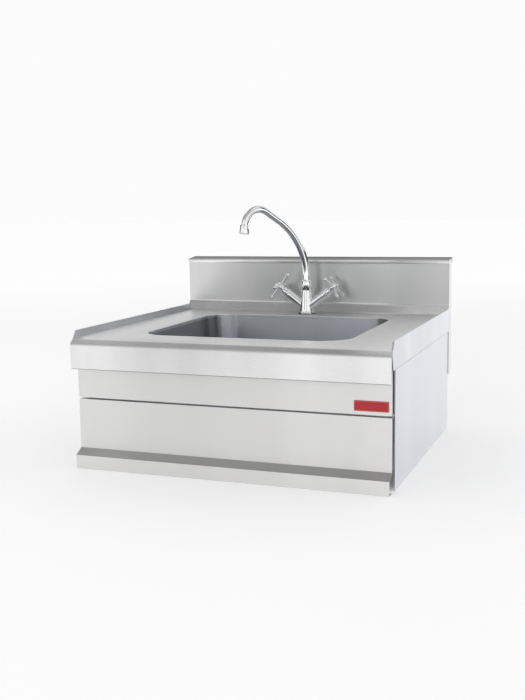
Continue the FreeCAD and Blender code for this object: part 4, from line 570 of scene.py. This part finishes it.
# Each stretch of the centre line: its length if straight, or its radius and turn if bent.
STRETCHES = [
    (0.019, 0, 0),
    (0, 0.173, math.radians(57.5)),
    (0.042, 0, 0),
    (0, 0.040, math.radians(114)),
    (0.009, 0, 0),
]
STEP_DEGREES = 2.5
TUBE_OUTER, TUBE_INNER, TUBE_START = 0.009, 0.0078, 0.07068
RING_POINTS = 48
# The sleeve's section, with its two grooves, as (radius, height) pairs.
SLEEVE = [
    (0.0065, 0.0440), (0.0095, 0.0440), (0.0095, 0.0480), (0.0076, 0.0480), (0.0076, 0.0500),
    (0.0095, 0.0500), (0.0095, 0.0590), (0.0076, 0.0590), (0.0076, 0.0610), (0.0095, 0.0610),
    (0.0095, 0.06808), (0.0086, 0.06808), (0.0086, 0.07068), (0.0065, 0.07068),
]


def spout_line():
    """Points of the centre line and the heading at each, from upright, in the spout's plane."""
    spot, heading = Vector((0.0, TUBE_START)), 0.0
    line = [(spot.copy(), heading)]
    for length, radius, turn in STRETCHES:
        steps = max(2, round(math.degrees(turn) / STEP_DEGREES))
        for _ in range(steps):
            chord = 2 * radius * math.sin(turn / steps / 2) if turn else length / steps
            way = heading + turn / steps / 2
            spot += Vector((math.sin(way), math.cos(way))) * chord
            heading += turn / steps
            line.append((spot.copy(), heading))
    return line


def skin(work, rings, closed):
    """Faces between rings of points, and from the last ring back to the first."""
    pairs = list(zip(rings, rings[1:])) + ([(rings[-1], rings[0])] if closed else [])
    for low, high in pairs:
        count = len(low)
        for index in range(count):
            after = (index + 1) % count
            work.faces.new((low[index], low[after], high[after], high[index]))


def tube_ring(work, spot, heading, radius):
    """A ring of points square to the centre line."""
    out = Vector((math.cos(SWIVEL), math.sin(SWIVEL), 0))
    side = Vector((-math.sin(SWIVEL), math.cos(SWIVEL), 0))
    middle = TAP_AXIS + out * spot.x + Vector((0, 0, spot.y))
    rise = out * math.cos(heading) - Vector((0, 0, math.sin(heading)))
    turns = [2 * math.pi * index / RING_POINTS for index in range(RING_POINTS)]
    ways = [rise * math.cos(t) + side * math.sin(t) for t in turns]
    return [work.verts.new(middle + radius * way) for way in ways]


def object_from(work, name, finish):
    """Make the drawn faces into an object, all looking outwards, with one finish."""
    bmesh.ops.recalc_face_normals(work, faces=work.faces)
    mesh = bpy.data.meshes.new(name)
    work.to_mesh(mesh)
    work.free()
    mesh.materials.append(finish)
    piece = bpy.data.objects.new(name, mesh)
    scene.collection.objects.link(piece)
    return piece


work = bmesh.new()
line = spout_line()
outside = [tube_ring(work, spot, heading, TUBE_OUTER) for spot, heading in line]
inside = [tube_ring(work, spot, heading, TUBE_INNER) for spot, heading in reversed(line)]
skin(work, outside + inside, True)
skin(work, [tube_ring(work, Vector((0, z)), 0.0, r) for r, z in SLEEVE], True)
spout = object_from(work, "spout_tube", finishes["chrome"])
soften(spout, PLAIN_EDGE, True)
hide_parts("spout")
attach(spout, "spout")
print("spout redrawn with", len(spout.data.polygons), "faces")

# %% [markdown]
# ## Bends in the sheet
#
# Where a press brake folds a sheet inwards it leaves a small radius, and the radius catches a
# line of light. The measured model has these inner bends sharp, so thin fillets are laid in them:
# each is an arc that touches both sheets, closed behind by the two legs of the corner. The lip of
# the cap is rolled rather than flat, which is why it shines along its whole length.

# %% Lay a fillet in each inner bend
STRIP_EDGE = 0.00005


def arc_points(middle, first, last, radius, steps=8):
    """Points on an arc in the (y, z) plane between two ways out from its middle."""
    ways = [first.slerp(last, index / steps).normalized() for index in range(steps + 1)]
    return [middle + way * radius for way in ways]


def long_strip(name, section, start, end, finish, along_y=False):
    """A closed section carried along X, or along Y, from start to end, fixed to the sink."""
    work = bmesh.new()
    places = [[(a, u, v) for u, v in section] for a in (start, end)]
    if along_y:
        places = [[(u, a, v) for a, u, v in ring] for ring in places]
    rings = [[work.verts.new(place) for place in ring] for ring in places]
    skin(work, rings, False)
    for ring in rings:
        work.faces.new(ring)
    strip = object_from(work, name, finish)
    soften(strip, STRIP_EDGE, True)
    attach(strip, "sink")


def bend(name, corner, first, second, radius, start, end):
    """A fillet along X. first and second are the (y, z) ways of the corner's two legs."""
    first, second = Vector(first).normalized(), Vector(second).normalized()
    half_opening = first.angle(second) / 2
    leg = radius / math.tan(half_opening)
    corner = Vector(corner)
    middle = corner + (first + second).normalized() * (radius / math.sin(half_opening))
    a, b = corner + first * leg - middle, corner + second * leg - middle
    long_strip(name, arc_points(middle, a, b, radius) + [corner], start, end, satin_top)


def rolled_lip(name, y, low, high, bulge, start, end):
    """The rounded face of a folded edge, standing out from y by bulge between two heights."""
    half_height = (high - low) / 2
    radius = (half_height**2 + bulge**2) / (2 * bulge)
    middle = Vector((y + radius - bulge, (low + high) / 2))
    a, b = (Vector((y, z)) - middle for z in (low, high))
    long_strip(name, arc_points(middle, a, b, radius), start, end, satin_top)


bend("ramp_head_bend", (0.285, 0.308), (0, 1), (-1, -1), 0.007, -0.3498, 0.3498)
bend("ramp_foot_bend", (0.263, 0.286), (1, 1), (-1, 0), 0.009, -0.345, 0.345)
rolled_lip("cap_lip_face", 0.280, 0.4112, 0.4198, 0.001, -0.3498, 0.3498)
print("bends laid")

# %% [markdown]
# A thin grey strip runs in the joint under the worktop's aprons, where they lap over the casing.
# It is only a millimetre high, and it is painted shade: it draws the thin grey shadow line that
# parts the two sheets.

# %% Run a painted shade strip under the aprons
SHADE_STRIP_HEIGHT = 0.0012
BITE = 0.0001


def lowest_of_worktop(wanted):
    """Height of the lowest point of the worktop for which wanted(point) is true."""
    top = frame["nodes"]["worktop"]
    places = [top.matrix_world @ vertex.co for vertex in top.data.vertices]
    return min(place.z for place in places if wanted(place))


def square(low, high):
    """The corners of an upright rectangle."""
    return [low, (high[0], low[1]), high, (low[0], high[1])]


front_foot = lowest_of_worktop(lambda place: place.y < -0.3245)
side_foot = lowest_of_worktop(lambda place: place.x > 0.3495 and place.y > -0.31)
# Painted shade: grey strips that draw the shadow line under the aprons.
section = square((-0.3243, front_foot - SHADE_STRIP_HEIGHT), (-0.3225, front_foot + BITE))
long_strip("front_shade_strip", section, -0.3485, 0.3485, finishes["grey_plastic"])
for name, sign in (("left_shade_strip", -1), ("right_shade_strip", 1)):
    section = square((sign * 0.3485, side_foot - SHADE_STRIP_HEIGHT), (sign * 0.3495, side_foot + BITE))
    long_strip(name, section, -0.305, 0.284, finishes["grey_plastic"], along_y=True)
# The heights printed are those of the apron feet that the painted shade strips hang from.
print("bead heights:", round(front_foot, 4), round(side_foot, 4))

# %% [markdown]
# The red plate on the fascia is left blank. A narrow raised frame in a paler red runs just
# inside its edge.

# %% Frame the blank plate
PLATE_CORNER = 0.0024


def plate_frame(node, inset, width, proud, finish):
    """A rounded frame standing out from a plate that faces the viewer."""
    low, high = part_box(node)
    work = bmesh.new()
    rings = []
    face, front = low[1], low[1] - proud
    for edge, y in ((0, face), (0, front), (width, front), (width, face)):
        left, right = low[0] + inset + edge, high[0] - inset - edge
        foot, head = low[2] + inset + edge, high[2] - inset - edge
        r = PLATE_CORNER - inset / 2 - edge / 2
        ring = []
        corners = ((right, head, 0), (left, head, 90), (left, foot, 180), (right, foot, 270))
        for x, z, begin in corners:
            x += -r if x == right else r
            z += -r if z == head else r
            turns = [math.radians(begin + 15 * index) for index in range(7)]
            places = [(x + r * math.cos(t), y, z + r * math.sin(t)) for t in turns]
            ring += [work.verts.new(place) for place in places]
        rings.append(ring)
    skin(work, rings, True)
    piece = object_from(work, "plate_frame", finish)
    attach(piece, "sink")


pale_red = mottled("pale_red_enamel", (0.80, 0.20, 0.18), 0.0, (0.30, 0.38), 60, 0.0, 0.04, 0.1)
plate_frame("badge_plate", 0.0010, 0.0009, 0.0003, pale_red)
print("plate framed")
